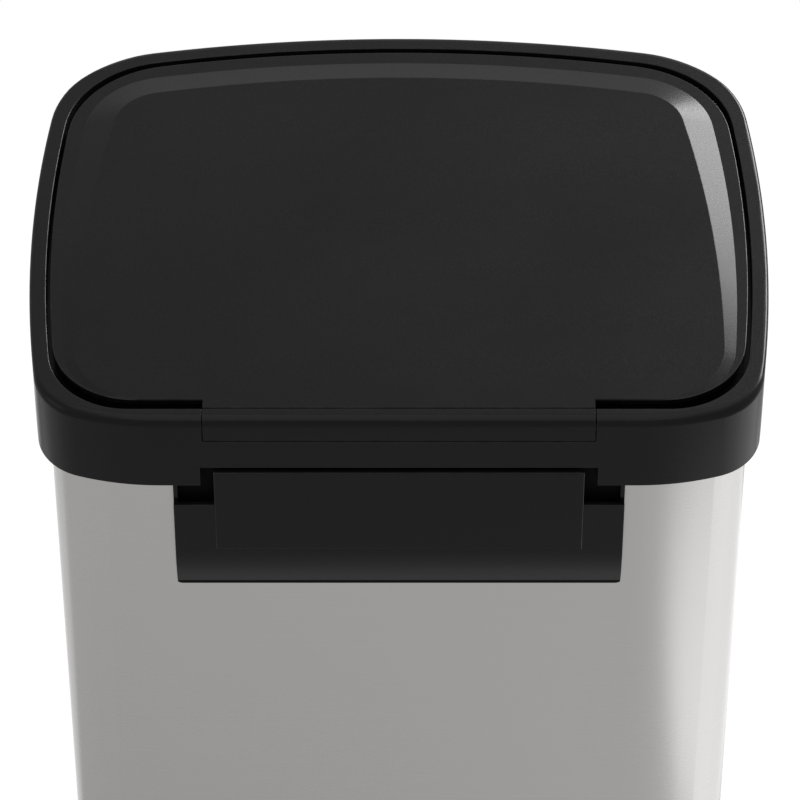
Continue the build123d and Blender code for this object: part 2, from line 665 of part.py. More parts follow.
# Rod

HEAD_BOTTOM = HEAD_TOP - HEAD_HEIGHT
ROD_TOP = HEAD_BOTTOM + ROD_SOCKET
LEVER_TILT = PEDAL_SWING / 2
FOOT_STAND_OFF = LEVER_HEIGHT / 2 + FOOT_RADIUS + PEDAL_GAP
FOOT_DROP = REAR_ARM * sin(radians(LEVER_TILT)) - FOOT_STAND_OFF
FOOT_CENTRE_Z = PIVOT_Z - FOOT_DROP / cos(radians(LEVER_TILT))
FOOT_TOP = FOOT_CENTRE_Z + FOOT_HEIGHT - FOOT_RADIUS
ROD_BOTTOM = FOOT_TOP - ROD_SOCKET


def push_rod():
    return bar_z(ROD_RADIUS, 0, ROD_Y, ROD_BOTTOM, ROD_TOP)


def push_rod_head():
    rear = ROD_DEPTH - HEAD_LENGTH / 2
    front = ROD_DEPTH + HEAD_LENGTH / 2
    head = block(-HEAD_HALF, HEAD_HALF, rear, front, HEAD_BOTTOM, HEAD_TOP)
    return head - bar_z(ROD_RADIUS + PRESS, 0, ROD_Y, HEAD_BOTTOM - 1, ROD_TOP)


def push_rod_foot():
    foot = bar_x(FOOT_RADIUS, -FOOT_RADIUS, FOOT_RADIUS, ROD_Y, FOOT_CENTRE_Z)
    rear = ROD_DEPTH - FOOT_RADIUS
    front = ROD_DEPTH + FOOT_RADIUS
    foot += block(-FOOT_RADIUS, FOOT_RADIUS, rear, front, FOOT_CENTRE_Z, FOOT_TOP)
    return foot - bar_z(ROD_RADIUS + PRESS, 0, ROD_Y, ROD_BOTTOM, FOOT_TOP + 1)


# Channel, guides and damper

CHANNEL_BACK = PLINTH_INNER + FIT
CHANNEL_INNER_FRONT = CHANNEL_FRONT_DEPTH - CHANNEL_WALL
CHANNEL_INNER_HALF = CHANNEL_HALF - CHANNEL_WALL


def rod_channel():
    low = FLOOR_TOP
    high = TOP - CHANNEL_TOP_DROP
    inner = CHANNEL_INNER_HALF
    channel = block(-CHANNEL_HALF, CHANNEL_HALF, CHANNEL_BACK, CHANNEL_FRONT_DEPTH, low, high)
    return channel - block(-inner, inner, CHANNEL_BACK - 1, CHANNEL_INNER_FRONT, low - 1, high + 1)


def rod_guides():
    guides = []
    for low in (LOWER_GUIDE_Z, TOP - UPPER_GUIDE_DROP):
        high = low + GUIDE_HEIGHT
        guide = block(-GUIDE_HALF, GUIDE_HALF, CHANNEL_BACK, CHANNEL_INNER_FRONT, low, high)
        guides.append(guide - bar_z(ROD_RADIUS + RUNNING, 0, ROD_Y, low - 1, high + 1))
    return Compound(guides)


DAMPER_TOP = TOP - DAMPER_TOP_DROP
DAMPER_BOTTOM = DAMPER_TOP - DAMPER_LENGTH
PISTON_BOTTOM = DAMPER_BOTTOM + DAMPER_CAP + 2
LINK_Z = TOP - LINK_DROP


def damper_cylinder():
    body = bar_z(DAMPER_RADIUS, DAMPER_X, ROD_Y, DAMPER_BOTTOM, DAMPER_TOP)
    cap_low = DAMPER_TOP - DAMPER_CAP
    body -= bar_z(DAMPER_BORE, DAMPER_X, ROD_Y, DAMPER_BOTTOM + DAMPER_CAP, cap_low)
    return body - bar_z(PISTON_ROD_RADIUS + RUNNING, DAMPER_X, ROD_Y, cap_low - 1, DAMPER_TOP + 1)


def damper_bracket():
    low = DAMPER_BOTTOM + DAMPER_LENGTH / 2 - BRACKET_HEIGHT / 2
    high = low + BRACKET_HEIGHT
    left = DAMPER_X - DAMPER_RADIUS - CLAMP_WALL
    bracket = block(left, CHANNEL_INNER_HALF, CHANNEL_BACK, CHANNEL_INNER_FRONT, low, high)
    return bracket - bar_z(DAMPER_RADIUS + PRESS, DAMPER_X, ROD_Y, low - 1, high + 1)


def damper_piston_rod():
    piston = bar_z(PISTON_RADIUS, DAMPER_X, ROD_Y, PISTON_BOTTOM, PISTON_BOTTOM + PISTON_HEIGHT)
    return piston + bar_z(PISTON_ROD_RADIUS, DAMPER_X, ROD_Y, PISTON_BOTTOM, LINK_Z + LINK_HEIGHT)


def damper_link():
    high = LINK_Z + LINK_HEIGHT
    right = DAMPER_X + PISTON_ROD_RADIUS + CLAMP_WALL
    link = block(-LINK_HALF, right, ROD_DEPTH - LINK_HALF, ROD_DEPTH + LINK_HALF, LINK_Z, high)
    link -= bar_z(ROD_RADIUS + PRESS, 0, ROD_Y, LINK_Z - 1, high + 1)
    return link - bar_z(PISTON_ROD_RADIUS + PRESS, DAMPER_X, ROD_Y, LINK_Z - 1, high + 1)


# Base

def base_plinth():
    outer = OVERHANG - PLINTH_PROUD
    plinth = ring(outer, PLINTH_INNER, FEET_HEIGHT, PLINTH_TOP)
    plinth += ring(SKIRT_INSET, PLINTH_INNER, FEET_HEIGHT, PLINTH_TOP + PLINTH_COLLAR)
    plinth += ring(SKIRT_INSET, PLINTH_INNER + FLOOR_LEDGE, FLOOR_Z - PLINTH_FLANGE_WALL, FLOOR_Z)
    flange = slab(outline(outer), FEET_HEIGHT, FEET_HEIGHT + PLINTH_FLANGE_WALL)
    plinth += flange - slab(outline(PLINTH_FLANGE, corner=PLINTH_OPENING_CORNER), 0, PLINTH_TOP)
    plinth -= bar_z(ROD_WAY_RADIUS, 0, ROD_Y, PLINTH_TOP, PLINTH_TOP + PLINTH_COLLAR)
    slot_half = LEVER_HALF + SLOT_SIDE
    slot_back = COLLAR_DEPTH - PLINTH_FLANGE
    plinth -= block(-slot_half, slot_half, slot_back, COLLAR_DEPTH, SLOT_BOTTOM, SLOT_TOP)
    for x, y in floor_screw_places():
        plinth -= bar_z(SCREW_RADIUS, x, y, FLOOR_Z - PLINTH_FLANGE_WALL - 1, FLOOR_Z + 1)
    return plinth


def foot_places():
    depths = (FOOT_PAD_REAR_DEPTH, FOOT_PAD_FRONT_DEPTH)
    return [(x, REAR - depth) for x in (-FOOT_PAD_X, FOOT_PAD_X) for depth in depths]


def base_feet():
    return Compound([bar_z(FOOT_PAD_RADIUS, x, y, 0, FEET_HEIGHT) for x, y in foot_places()])


def floor_screw_places():
    inset = PLINTH_INNER + FLOOR_LEDGE / 2
    side = COLLAR_WIDTH / 2 - inset
    return [(side, REAR - WIDEST_DEPTH), (-side, REAR - WIDEST_DEPTH),
            (-90.0, REAR - inset), (90.0, REAR - inset)]


def floor_plate():
    floor = slab(outline(PLINTH_INNER + FIT), FLOOR_Z, FLOOR_TOP)
    floor += block(-RIDGE_HALF, RIDGE_HALF, CHANNEL_FRONT_DEPTH + FIT, COLLAR_DEPTH - BUCKET_INSET,
                   FLOOR_Z, FLOOR_TOP + RIDGE_HEIGHT)
    floor -= bar_z(ROD_WAY_RADIUS, 0, ROD_Y, FLOOR_Z - 1, FLOOR_TOP + 1)
    for x, y in floor_screw_places() + bracket_screw_places():
        floor -= screw_hole_up(x, y, FLOOR_Z - 1, FLOOR_TOP + 1)
    return floor


def screw_down(x, y, seat, length):
    """A screw whose head stands on a seat and whose shank goes down."""
    head = bar_z(SCREW_HEAD_RADIUS, x, y, seat, seat + SCREW_HEAD_HEIGHT)
    return head + bar_z(SCREW_RADIUS, x, y, seat - length, seat)


def floor_screws():
    length = FLOOR_WALL + PLINTH_FLANGE_WALL
    return Compound([screw_down(x, y, FLOOR_TOP, length) for x, y in floor_screw_places()])


# Pedal

def lever_space(grow):
    """The lever's outer block at rest, tilted about its pivot."""
    front = LEVER_FRONT_LENGTH + grow
    rear = REAR_ARM + LEVER_REAR_SPARE + grow
    size = (2 * (LEVER_HALF + grow), front + rear, LEVER_HEIGHT + 2 * grow)
    body = Pos(0, (rear - front) / 2, 0) * Box(*size)
    return Pos(0, PIVOT_Y, PIVOT_Z) * Rot(-LEVER_TILT, 0, 0) * body


def pedal_lever():
    lever = lever_space(0)
    hollow = Pos(0, 0, -LEVER_WALL) * Box(2 * (LEVER_HALF - LEVER_WALL), COLLAR_DEPTH * 2, LEVER_HEIGHT)
    lever -= Pos(0, PIVOT_Y, PIVOT_Z) * Rot(-LEVER_TILT, 0, 0) * hollow
    lever -= bar_x(PIVOT_PIN_RADIUS + RUNNING, -LEVER_HALF - 1, LEVER_HALF + 1, PIVOT_Y, PIVOT_Z)
    for x, y in rivet_places():
        lever -= screw_hole_up(x, y, 0, FLOOR_Z)
    return lever


def rivet_places():
    return [(x, REAR - COLLAR_DEPTH - PEDAL_REACH / 2 + 3) for x in (-9.0, 9.0)]


def pedal_face(front, back, half):
    strip = Pos(0, REAR - COLLAR_DEPTH, 0) * Rectangle(2 * half, COLLAR_DEPTH)
    return (outline(front) - outline(back)) & strip


def pedal_pad():
    pad = slab(pedal_face(-PEDAL_REACH, PEDAL_BACK_INSET, PEDAL_HALF), PEDAL_BOTTOM, PEDAL_TOP)
    pad = fillet(pad.edges().filter_by(Axis.Z), PEDAL_ROUND)
    pad = fillet(pad.faces().sort_by(Axis.Z)[-1].edges(), PEDAL_ROUND / 2)
    pad -= lever_space(RUNNING)
    for x, y in rivet_places():
        pad -= screw_hole_up(x, y, 0, PEDAL_TOP + 1)
    return pad


def pedal_tread():
    border = TREAD_BORDER
    tread = slab(pedal_face(border - PEDAL_REACH, PEDAL_BACK_INSET - border, PEDAL_HALF - border),
                 PEDAL_TOP, PEDAL_TOP + TREAD_HEIGHT)
    spacing = 2 * (PEDAL_HALF - border) / (TREAD_GROOVES + 1)
    for number in range(TREAD_GROOVES):
        x = border - PEDAL_HALF + spacing * (number + 1)
        half = TREAD_GROOVE_WIDTH / 2
        tread -= block(x - half, x + half, 0, COLLAR_DEPTH + PEDAL_REACH, PEDAL_TOP + TREAD_HEIGHT / 2, TOP)
    return tread


def pedal_rivets():
    high = PEDAL_TOP
    return Compound([bar_z(SCREW_RADIUS, x, y, PEDAL_BOTTOM + 2, high) for x, y in rivet_places()])


def pedal_pivot_pin():
    half = BRACKET_INNER_HALF + BRACKET_WALL + CLIP_WALL + 1
    return bar_x(PIVOT_PIN_RADIUS, -half, half, PIVOT_Y, PIVOT_Z)


def pivot_bushes():
    bush = bar_x(BUSH_RADIUS, LEVER_HALF + FIT, BRACKET_INNER_HALF, PIVOT_Y, PIVOT_Z)
    bush -= bar_x(PIVOT_PIN_RADIUS + PRESS, 0, BRACKET_INNER_HALF + 1, PIVOT_Y, PIVOT_Z)
    return mirrored(bush)


def pivot_clips():
    start = BRACKET_INNER_HALF + BRACKET_WALL
    clip = bar_x(CLIP_RADIUS, start, start + CLIP_WALL, PIVOT_Y, PIVOT_Z)
    clip -= bar_x(PIVOT_PIN_RADIUS + PRESS, 0, start + CLIP_WALL + 1, PIVOT_Y, PIVOT_Z)
    return mirrored(clip)


def bracket_screw_places():
    x = BRACKET_INNER_HALF + BRACKET_WALL + BRACKET_FLANGE / 2
    return [(-x, PIVOT_Y), (x, PIVOT_Y)]


def pedal_brackets():
    low = PIVOT_Z - BUSH_RADIUS - 2
    span = BRACKET_SPAN
    inner = BRACKET_INNER_HALF
    outer = inner + BRACKET_WALL
    bracket = block(inner, outer, PIVOT_DEPTH - span, PIVOT_DEPTH + span, low, FLOOR_Z)
    bracket += block(inner, outer + BRACKET_FLANGE, PIVOT_DEPTH - span, PIVOT_DEPTH + span,
                     FLOOR_Z - BRACKET_WALL, FLOOR_Z)
    bracket -= bar_x(PIVOT_PIN_RADIUS + PRESS, 0, outer + 1, PIVOT_Y, PIVOT_Z)
    x, y = bracket_screw_places()[1]
    bracket -= screw_hole_up(x, y, 0, TOP)
    return mirrored(bracket)


def bracket_screws():
    seat = FLOOR_Z - BRACKET_WALL
    length = BRACKET_WALL + FLOOR_WALL - FIT
    return Compound([screw_up(x, y, seat, length) for x, y in bracket_screw_places()])


# Buckets

def bucket_plan(grow):
    """Half of the space inside the collar's mouth, with round corners, grown by a wall if asked."""
    centre_side = BUCKET_CENTRE_GAP - grow
    rear_y = REAR - BUCKET_REAR_DEPTH + grow
    centre = (centre_side + COLLAR_WIDTH / 2, rear_y - COLLAR_DEPTH / 2, 0)
    half = Pos(*centre) * Rectangle(COLLAR_WIDTH, COLLAR_DEPTH)
    plan = outline(BUCKET_INSET - grow, corner=BUCKET_CORNER / 2, front=BUCKET_FRONT_INSET - grow)
    face = (plan & half).face()
    corners = [v for v in face.vertices() if abs(v.X - centre_side) < 0.01 or abs(v.Y - rear_y) < 0.01]
    return fillet(corners, BUCKET_CORNER + grow)


def drafted(face, top, height):
    """A plan face made solid downwards, drawing in with depth."""
    return extrude(Pos(0, 0, top) * face, amount=height, dir=(0, 0, -1), taper=BUCKET_DRAFT)


def bucket():
    top = TOP - BUCKET_TOP_DROP
    height = top - FLOOR_TOP - FIT
    outer = drafted(bucket_plan(0), top, height)
    inner = drafted(bucket_plan(-BUCKET_WALL), top, height - BUCKET_WALL)
    lip = slab(bucket_plan(BUCKET_LIP), top - BUCKET_LIP_SKIRT, top)
    lip -= slab(bucket_plan(BUCKET_LIP - BUCKET_WALL), 0, top - BUCKET_LIP_WALL)
    lip -= slab(bucket_plan(-BUCKET_WALL / 2), 0, top + 1)
    return outer - inner + lip


def build_all():
    right = bucket()
    return {
        "rim_collar": rim_collar(),
        "collar_screws": collar_screws(),
        "hinge_pins": hinge_pins(),
        "body_shell": body_shell(),
        "rear_cover": rear_cover(),
        "cover_screws": cover_screws(),
        "lid_shell": lid_shell(),
        "lid_liner": lid_liner(),
        "lid_screws": lid_screws(),
        "lid_bumpers": lid_bumpers(),
        "hinge_tail": hinge_tail(),
        "tail_screws": tail_screws(),
        "lid_crank": lid_crank(),
        "crank_pin": crank_pin(),
        "crank_glide": crank_glide(),
        "push_rod": push_rod(),
        "push_rod_head": push_rod_head(),
        "push_rod_foot": push_rod_foot(),
        "rod_channel": rod_channel(),
        "rod_guides": rod_guides(),
        "damper_cylinder": damper_cylinder(),
        "damper_bracket": damper_bracket(),
        "damper_piston_rod": damper_piston_rod(),
        "damper_link": damper_link(),
        "base_plinth": base_plinth(),
        "base_feet": base_feet(),
        "floor_plate": floor_plate(),
        "floor_screws": floor_screws(),
        "pedal_lever": pedal_lever(),
        "pedal_pad": pedal_pad(),
        "pedal_tread": pedal_tread(),
        "pedal_rivets": pedal_rivets(),
        "pedal_pivot_pin": pedal_pivot_pin(),
        "pivot_bushes": pivot_bushes(),
        "pivot_clips": pivot_clips(),
        "pedal_brackets": pedal_brackets(),
        "bracket_screws": bracket_screws(),
        "bucket_right": right,
        "bucket_left": right.mirror(Plane.YZ),
    }


os.makedirs("parts", exist_ok=True)
for node, shape in build_all().items():
    export_step(shape, f"parts/{node}.step")

print(f"hinge y {HINGE_Y:.4f} z {HINGE_Z:.4f}")
print(f"rod travel {LIFT:.4f} mm over {LID_SWING} degrees")
print(f"rod ratio {LIFT / 1000 / radians(LID_SWING):.7f} m per radian")
print(f"pedal pivot y {PIVOT_Y:.4f} z {PIVOT_Z:.4f}")
print(f"pedal swing {PEDAL_SWING:.5f} degrees, ratio {PEDAL_SWING / LID_SWING:.7f}")
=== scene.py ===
import json
from math import atan2, cos, pi, radians, sin, sqrt

import bmesh
import bpy
from bpy.props import FloatProperty, FloatVectorProperty, PointerProperty
from mathutils import Matrix, Vector


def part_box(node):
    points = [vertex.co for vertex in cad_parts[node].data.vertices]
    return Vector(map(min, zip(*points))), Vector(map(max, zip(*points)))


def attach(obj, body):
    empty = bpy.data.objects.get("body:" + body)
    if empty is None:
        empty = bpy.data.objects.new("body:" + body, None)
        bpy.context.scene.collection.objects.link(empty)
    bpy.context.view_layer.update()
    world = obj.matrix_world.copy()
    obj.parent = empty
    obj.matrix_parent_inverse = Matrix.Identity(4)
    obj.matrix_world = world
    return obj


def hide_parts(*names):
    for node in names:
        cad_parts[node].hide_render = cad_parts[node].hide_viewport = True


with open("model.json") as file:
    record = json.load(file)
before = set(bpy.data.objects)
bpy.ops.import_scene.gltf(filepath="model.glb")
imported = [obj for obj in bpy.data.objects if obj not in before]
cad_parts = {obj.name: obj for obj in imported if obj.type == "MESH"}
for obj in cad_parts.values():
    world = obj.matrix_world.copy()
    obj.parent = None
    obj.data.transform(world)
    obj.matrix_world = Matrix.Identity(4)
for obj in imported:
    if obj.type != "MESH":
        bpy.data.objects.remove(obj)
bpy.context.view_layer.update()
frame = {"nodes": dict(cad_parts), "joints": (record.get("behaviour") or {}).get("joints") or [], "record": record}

bl_info = {
    "name": "Step recycling bin",
    "version": (1, 0, 0),
    "blender": (4, 5, 0),
    "location": "View3D > Sidebar > Recycling bin",
    "description": "Skins, finishes and a studio stage for a steel step bin with a hinged lid",
    "category": "Object",
}

# Lengths are in metres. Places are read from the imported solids. +Z is up, the hinge is at +Y and the pedal at -Y.
# An inset or a depth runs inwards from the collar's outline, and a drop down from its top.
COLLAR_LOW, COLLAR_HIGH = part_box("rim_collar")
TOP = COLLAR_HIGH.z
REAR = COLLAR_HIGH.y
HINGE = next(joint["pos_m"] for joint in frame["joints"] if joint["name"] == "lid_hinge")
PAST = 0.001  # how far a cutting tool reaches past the faces that it cuts
ARC_STEPS = (8, 14, 20, 16, 14)  # edges of the outline's arcs, from the rear to the front
APART = 0.2  # spacing of a sweep's loops while they are joined
PAPER_HALF = 5.0

# The camera aims at the collar's rear top edge from behind, and then shifts.
CAMERA_TILT = radians(45)
CAMERA_DISTANCE = 2.524
CAMERA_RAISED = 0.010873
CAMERA_SIDEWAYS = -0.00053
SENSOR_MM = 36.0
LENS_MM = 215.19

# The key lamp stands in front of the bin.
KEY_TURN = radians(37)
KEY_RISE = radians(27)
KEY_DISTANCE = 3.2
KEY_TARGET = Vector((0, 0, 0.56))


def length(name, description, default):
    return FloatProperty(name=name, description=description, default=default, min=0.0, precision=5, unit="LENGTH")


def colour(name, description, default):
    return FloatVectorProperty(name=name, description=description, default=default, min=0.0, max=1.0, subtype="COLOR")


class BinPlan(bpy.types.PropertyGroup):
    """The collar's outline seen from above"""

    width: length("Width", "Width of the collar over its bowed sides", COLLAR_HIGH.x - COLLAR_LOW.x)
    depth: length("Depth", "Depth of the collar over its bowed front", COLLAR_HIGH.y - COLLAR_LOW.y)
    side_radius: length("Side radius", "Radius of the bowed sides", 0.838)
    widest_depth: length("Widest depth", "Where the sides are widest, in front of the rear face", 0.1417)
    front_radius: length("Front radius", "Radius of the bowed front", 0.791)
    front_corner: length("Front corner", "Radius of the front corners", 0.0678)
    rear_corner: length("Rear corner", "Tight radius of the rear corners", 0.0333)
    rear_bend: length("Rear bend", "Wide radius that leads into the rear corners", 0.142)
    rear_bend_x: length("Rear bend start", "Half the straight part of the rear face", 0.128)
    rear_turn: FloatProperty(name="Rear turn", description="Where an inner corner's arc is split in two",
                             default=0.35, subtype="ANGLE")


class CollarSizes(bpy.types.PropertyGroup):
    """The black collar and its ring"""

    height: length("Height", "Height of the collar's wall", COLLAR_HIGH.z - COLLAR_LOW.z + 0.0009)
    shoulder: length("Shoulder", "Radius of the outer top edge at the rear and the front", 0.0055)
    side_shoulder: length("Side shoulder", "Radius of the outer top edge at the sides", 0.0022)
    shoulder_start: length("Shoulder start", "Distance from the rear or front where the top edge starts to soften",
                           0.048)
    shoulder_end: length("Shoulder end", "Distance from the rear where the top edge has its full radius", 0.004)
    shoulder_end_front: length("Shoulder end at the front", "The same distance at the bowed front", 0.018)
    wall: length("Wall", "Wall of the moulding", 0.0026)
    ring: length("Ring", "Width of the flat ring at the sides and the rear", 0.009)
    ring_front: length("Ring at the front", "Width of the flat ring at the front", 0.012)
    ring_rear_corner: length("Ring rear corner", "Rear corner radius of the ring's inner edge", 0.044)
    ring_front_corner: length("Ring front corner", "Front corner radius of the ring's inner edge", 0.0607)
    ledge_drop: length("Ledge drop", "Depth of the ledge under the lid", 0.013)
    mouth_inset: length("Mouth inset", "Inset of the mouth at the sides", 0.024)
    mouth_front: length("Mouth front inset", "Inset of the mouth at the front", 0.028)
    mouth_rear: length("Mouth rear depth", "Depth of the mouth's rear edge", 0.046)
    mouth_corner: length("Mouth corner", "Rear corner radius of the mouth", 0.022)
    mouth_lip: length("Mouth lip drop", "How far the mouth's lip hangs below the top", 0.024)
    seat_drop: length("Seat drop", "Where the steel body meets the collar", 0.0205)
    skirt_drop: length("Skirt drop", "Lower edge of the skirt inside the body", 0.042)
    skirt_outer: length("Skirt outer inset", "Inset of the skirt's outer face", 0.0084)
    skirt_inner: length("Skirt inner inset", "Inset of the skirt's inner face", 0.0108)
    notch_height: length("Notch height", "Height of the notch above the collar's lower edge", 0.0138)
    notch_half: length("Notch half width", "Half width of the notch", 0.1062)
    slot_half: length("Slot half width", "Half width of the slot for the crank", 0.014)
    slot_front: length("Slot front depth", "Depth of the slot's front edge", 0.036)
    edge: length("Edge", "Radius of the collar's small edges", 0.0005)
    gap_edge: length("Gap edge", "Radius of the edges round the hinge gap and the notch", 0.0003)


class LidSizes(bpy.types.PropertyGroup):
    """The lid with its margin, chamfer and raised plateau"""

    inset: length("Inset", "Inset of the lid's edge at the sides", 0.0113)
    front: length("Front inset", "Inset of the lid's edge at the front", 0.0154)
    rear: length("Rear depth", "Depth of the lid's rear edge", 0.0153)
    rear_corner: length("Rear corner", "Rear corner radius of the lid", 0.046)
    front_corner: length("Front corner", "Front corner radius of the lid", 0.0622)
    skin: length("Skin", "Thickness of the lid's skin", 0.0028)
    edge: length("Edge", "Radius of the lid's upper edge", 0.0005)
    margin_inset: length("Margin inset", "Inset of the chamfer's outer edge at the sides", 0.018)
    margin_front: length("Margin front inset", "Inset of the chamfer's outer edge at the front", 0.0246)
    margin_corner: length("Margin rear corner", "Rear corner radius of the chamfer", 0.040)
    margin_front_corner: length("Margin front corner", "Front corner radius of the chamfer's outer edge", 0.0476)
    margin_widest: length("Margin widest depth", "Where the chamfer's outer edge is widest", 0.1251)
    plateau_inset: length("Plateau inset", "Inset of the plateau at the sides", 0.0271)
    plateau_front: length("Plateau front inset", "Inset of the plateau at the front", 0.0431)
    plateau_front_corner: length("Plateau front corner", "Front corner radius of the plateau", 0.0278)
    plateau_widest: length("Plateau widest depth", "Where the plateau is widest", 0.0769)
    rear_rise: length("Rear rise", "Height of the plateau at the hinge", 0.0004)
    slope: FloatProperty(name="Slope", description="Rise of the plateau towards the front, per metre", default=0.0185)
    skirt_drop: length("Skirt drop", "Lower edge of the lid's skirt", 0.010)
    skirt_wall: length("Skirt wall", "Wall of the lid's skirt", 0.0022)
    skirt_rear: length("Skirt rear depth", "Depth of the skirt's rear run", 0.0178)
    tongue: length("Tongue depth", "Depth of the rear edge of the lid's tongue", 0.0093)
    tongue_edge: length("Tongue edge", "Radius of the tongue's edges", 0.0003)


class HingeSizes(bpy.types.PropertyGroup):
    """The strip and barrel behind the lid"""

    half: length("Gap half width", "Half width of the gap in the collar", 0.1045)
    end_gap: length("End gap", "Gap at each end of the strip", 0.0005)
    depth: length("Depth", "Depth of the hinge line", REAR - HINGE[1])
    barrel: length("Barrel radius", "Radius of the hinge barrel", 0.0072)
    gap: length("Running gap", "Gap round the barrel", 0.00035)
    pin: length("Pin radius", "Radius of the hinge pins", 0.002)
    pin_gap: length("Pin gap", "Running gap round the pins", 0.00005)
    pin_in_barrel: length("Pin in barrel", "How far a pin reaches into the barrel", 0.018)
    pin_in_boss: length("Pin in boss", "How far a pin reaches into the collar", 0.018)
    flange_depth: length("Flange depth", "Depth of the flange under the lid", 0.032)
    flange_wall: length("Flange wall", "Wall of the flange", 0.0024)
    edge: length("Edge", "Radius of the strip's edges", 0.0005)


class CoverSizes(bpy.types.PropertyGroup):
    """The cover behind the body and its raised plate"""

    half: length("Half width", "Half width of the cover", 0.1212)
    wall: length("Wall", "Wall of the cover", 0.0022)
    overhang: length("Standing out", "How far the cover stands out from the body", 0.0073)
    top_drop: length("Top drop", "Lower edge of the windows", 0.0643)
    side_drop: length("Side drop", "Top of the side walls", 0.044)
    side_inset: length("Side inset", "Depth of the side walls' rear edges above the cover", 0.0029)
    curve_drop: length("Curve drop", "Where the cover starts to curve in", 0.100)
    bottom_drop: length("Bottom drop", "Where the cover meets the body", 0.1338)
    corner: length("Corner", "Radius of the lower corners", 0.003)
    back_drop: length("Back drop", "Top of the wall against the body", 0.024)
    back_wall: length("Back wall", "Wall against the body", 0.0014)
    plate_half: length("Plate half width", "Half width of the raised plate", 0.0993)
    plate_proud: length("Plate height", "How far the plate stands out", 0.0012)
    plate_wall: length("Plate wall", "Wall of the plate", 0.0028)
    plate_edge: length("Plate edge", "Radius of the plate's outer edges", 0.0009)
    plate_top: length("Plate top drop", "Top of the plate", 0.03885)
    plate_bottom: length("Plate bottom drop", "Bottom of the plate", 0.098)
    edge: length("Edge", "Radius of the cover's small edges", 0.0004)


class BinColours(bpy.types.PropertyGroup):
    """Colours of the finishes"""

    black: colour("Black moulding", "Lid, collar, cover and plinth", (0.0045, 0.0045, 0.005))
    liner: colour("Inner black moulding", "Lid liner and floor", (0.018, 0.018, 0.019))
    steel: colour("Satin steel", "Steel body", (0.345, 0.341, 0.335))
    grey: colour("Grey bucket", "Left bucket", (0.28, 0.29, 0.30))
    blue: colour("Blue bucket", "Right bucket", (0.10, 0.20, 0.33))
    natural: colour("Guide plastic", "Guides, bushes and glides", (0.75, 0.74, 0.70))
    rubber: colour("Rubber", "Feet, tread and stops", (0.02, 0.02, 0.021))
    sheet: colour("Zinc-plated sheet", "Lever, brackets and channel", (0.55, 0.55, 0.54))
    bright: colour("Drawn bar", "Rods and pins", (0.66, 0.66, 0.65))
    screw: colour("Zinc-plated screws", "Screws", (0.50, 0.50, 0.50))
    damper: colour("Damper tube", "Damper", (0.03, 0.03, 0.032))
    floor: colour("Floor", "Studio floor", (0.80, 0.80, 0.80))


# Plan curves

def circles_meet(centre_a, radius_a, centre_b, radius_b):
    """The two crossings of two circles."""
    line = centre_b - centre_a
    along = (radius_a**2 - radius_b**2 + line.length_squared) / (2 * line.length)
    across = sqrt(radius_a**2 - along**2)
    middle = centre_a + line.normalized() * along
    side = Vector((line.y, -line.x)).normalized() * across
    return [middle + side, middle - side]


def plan_arcs(inset, rear=None, corner=None, front=None, front_corner=None, widest=None):
    """The arcs of the outline's right half from rear to front, as centre, start, end and steps."""
    plan = bpy.context.scene.bin_plan
    rear = inset if rear is None else rear
    front = inset if front is None else front
    front_corner = plan.front_corner - inset if front_corner is None else front_corner
    widest = plan.widest_depth if widest is None else widest
    side = plan.side_radius - inset
    bow = plan.front_radius - front
    side_centre = Vector((plan.width / 2 - plan.side_radius, REAR - widest))
    bow_centre = Vector((0, REAR - plan.depth + plan.front_radius))
    if corner is None:
        corner = plan.rear_corner - inset
        bend = plan.rear_bend - rear
        bend_centre = Vector((plan.rear_bend_x, REAR - plan.rear_bend))
        crossings = circles_meet(bend_centre, bend - corner, side_centre, side - corner)
        corner_centre = max(crossings, key=lambda point: point.y)
        bend_end = bend_centre + (corner_centre - bend_centre).normalized() * bend
    else:
        corner_y = REAR - rear - corner
        corner_x = side_centre.x + sqrt((side - corner) ** 2 - (corner_y - side_centre.y) ** 2)
        corner_centre = Vector((corner_x, corner_y))
        bend_centre = corner_centre
        bend_end = corner_centre + Vector((sin(plan.rear_turn), cos(plan.rear_turn))) * corner
    front_centre = max(circles_meet(side_centre, side - front_corner, bow_centre, bow - front_corner),
                       key=lambda point: point.x)
    start = Vector((bend_centre.x, REAR - rear))
    side_start = side_centre + (corner_centre - side_centre).normalized() * side
    side_end = side_centre + (front_centre - side_centre).normalized() * side
    bow_start = bow_centre + (front_centre - bow_centre).normalized() * bow
    middle = Vector((0, bow_centre.y - bow))
    centres = (bend_centre, corner_centre, side_centre, front_centre, bow_centre)
    ends = (start, bend_end, side_start, side_end, bow_start, middle)
    return list(zip(centres, ends, ends[1:], ARC_STEPS))


def plan_loop(bm, height, **shape):
    """A closed loop of edges that follows the plan, spun arc by arc and mirrored."""
    arcs = plan_arcs(**shape)
    old = set(bm.edges)
    start = arcs[0][1]
    tip = bmesh.ops.create_vert(bm, co=(0, start.y, height))["vert"][0]
    made = bmesh.ops.extrude_vert_indiv(bm, verts=[tip])
    tip = made["verts"][0]
    bmesh.ops.translate(bm, verts=[tip], vec=(start.x, 0, 0))
    for centre, begin, end, steps in arcs:
        turn = atan2(*(begin - centre).yx) - atan2(*(end - centre).yx)
        made = bmesh.ops.spin(bm, geom=[tip], cent=(*centre, height), axis=(0, 0, -1), dvec=(0, 0, 0),
                              angle=turn % (2 * pi), steps=steps, use_merge=False, use_duplicate=False)
        tip = made["geom_last"][0]
    half = [edge for edge in bm.edges if edge not in old]
    points = list({vert for edge in half for vert in edge.verts})
    bmesh.ops.mirror(bm, geom=points + half, matrix=Matrix(), merge_dist=1e-6, axis="X")
    return [edge for edge in bm.edges if edge not in old]


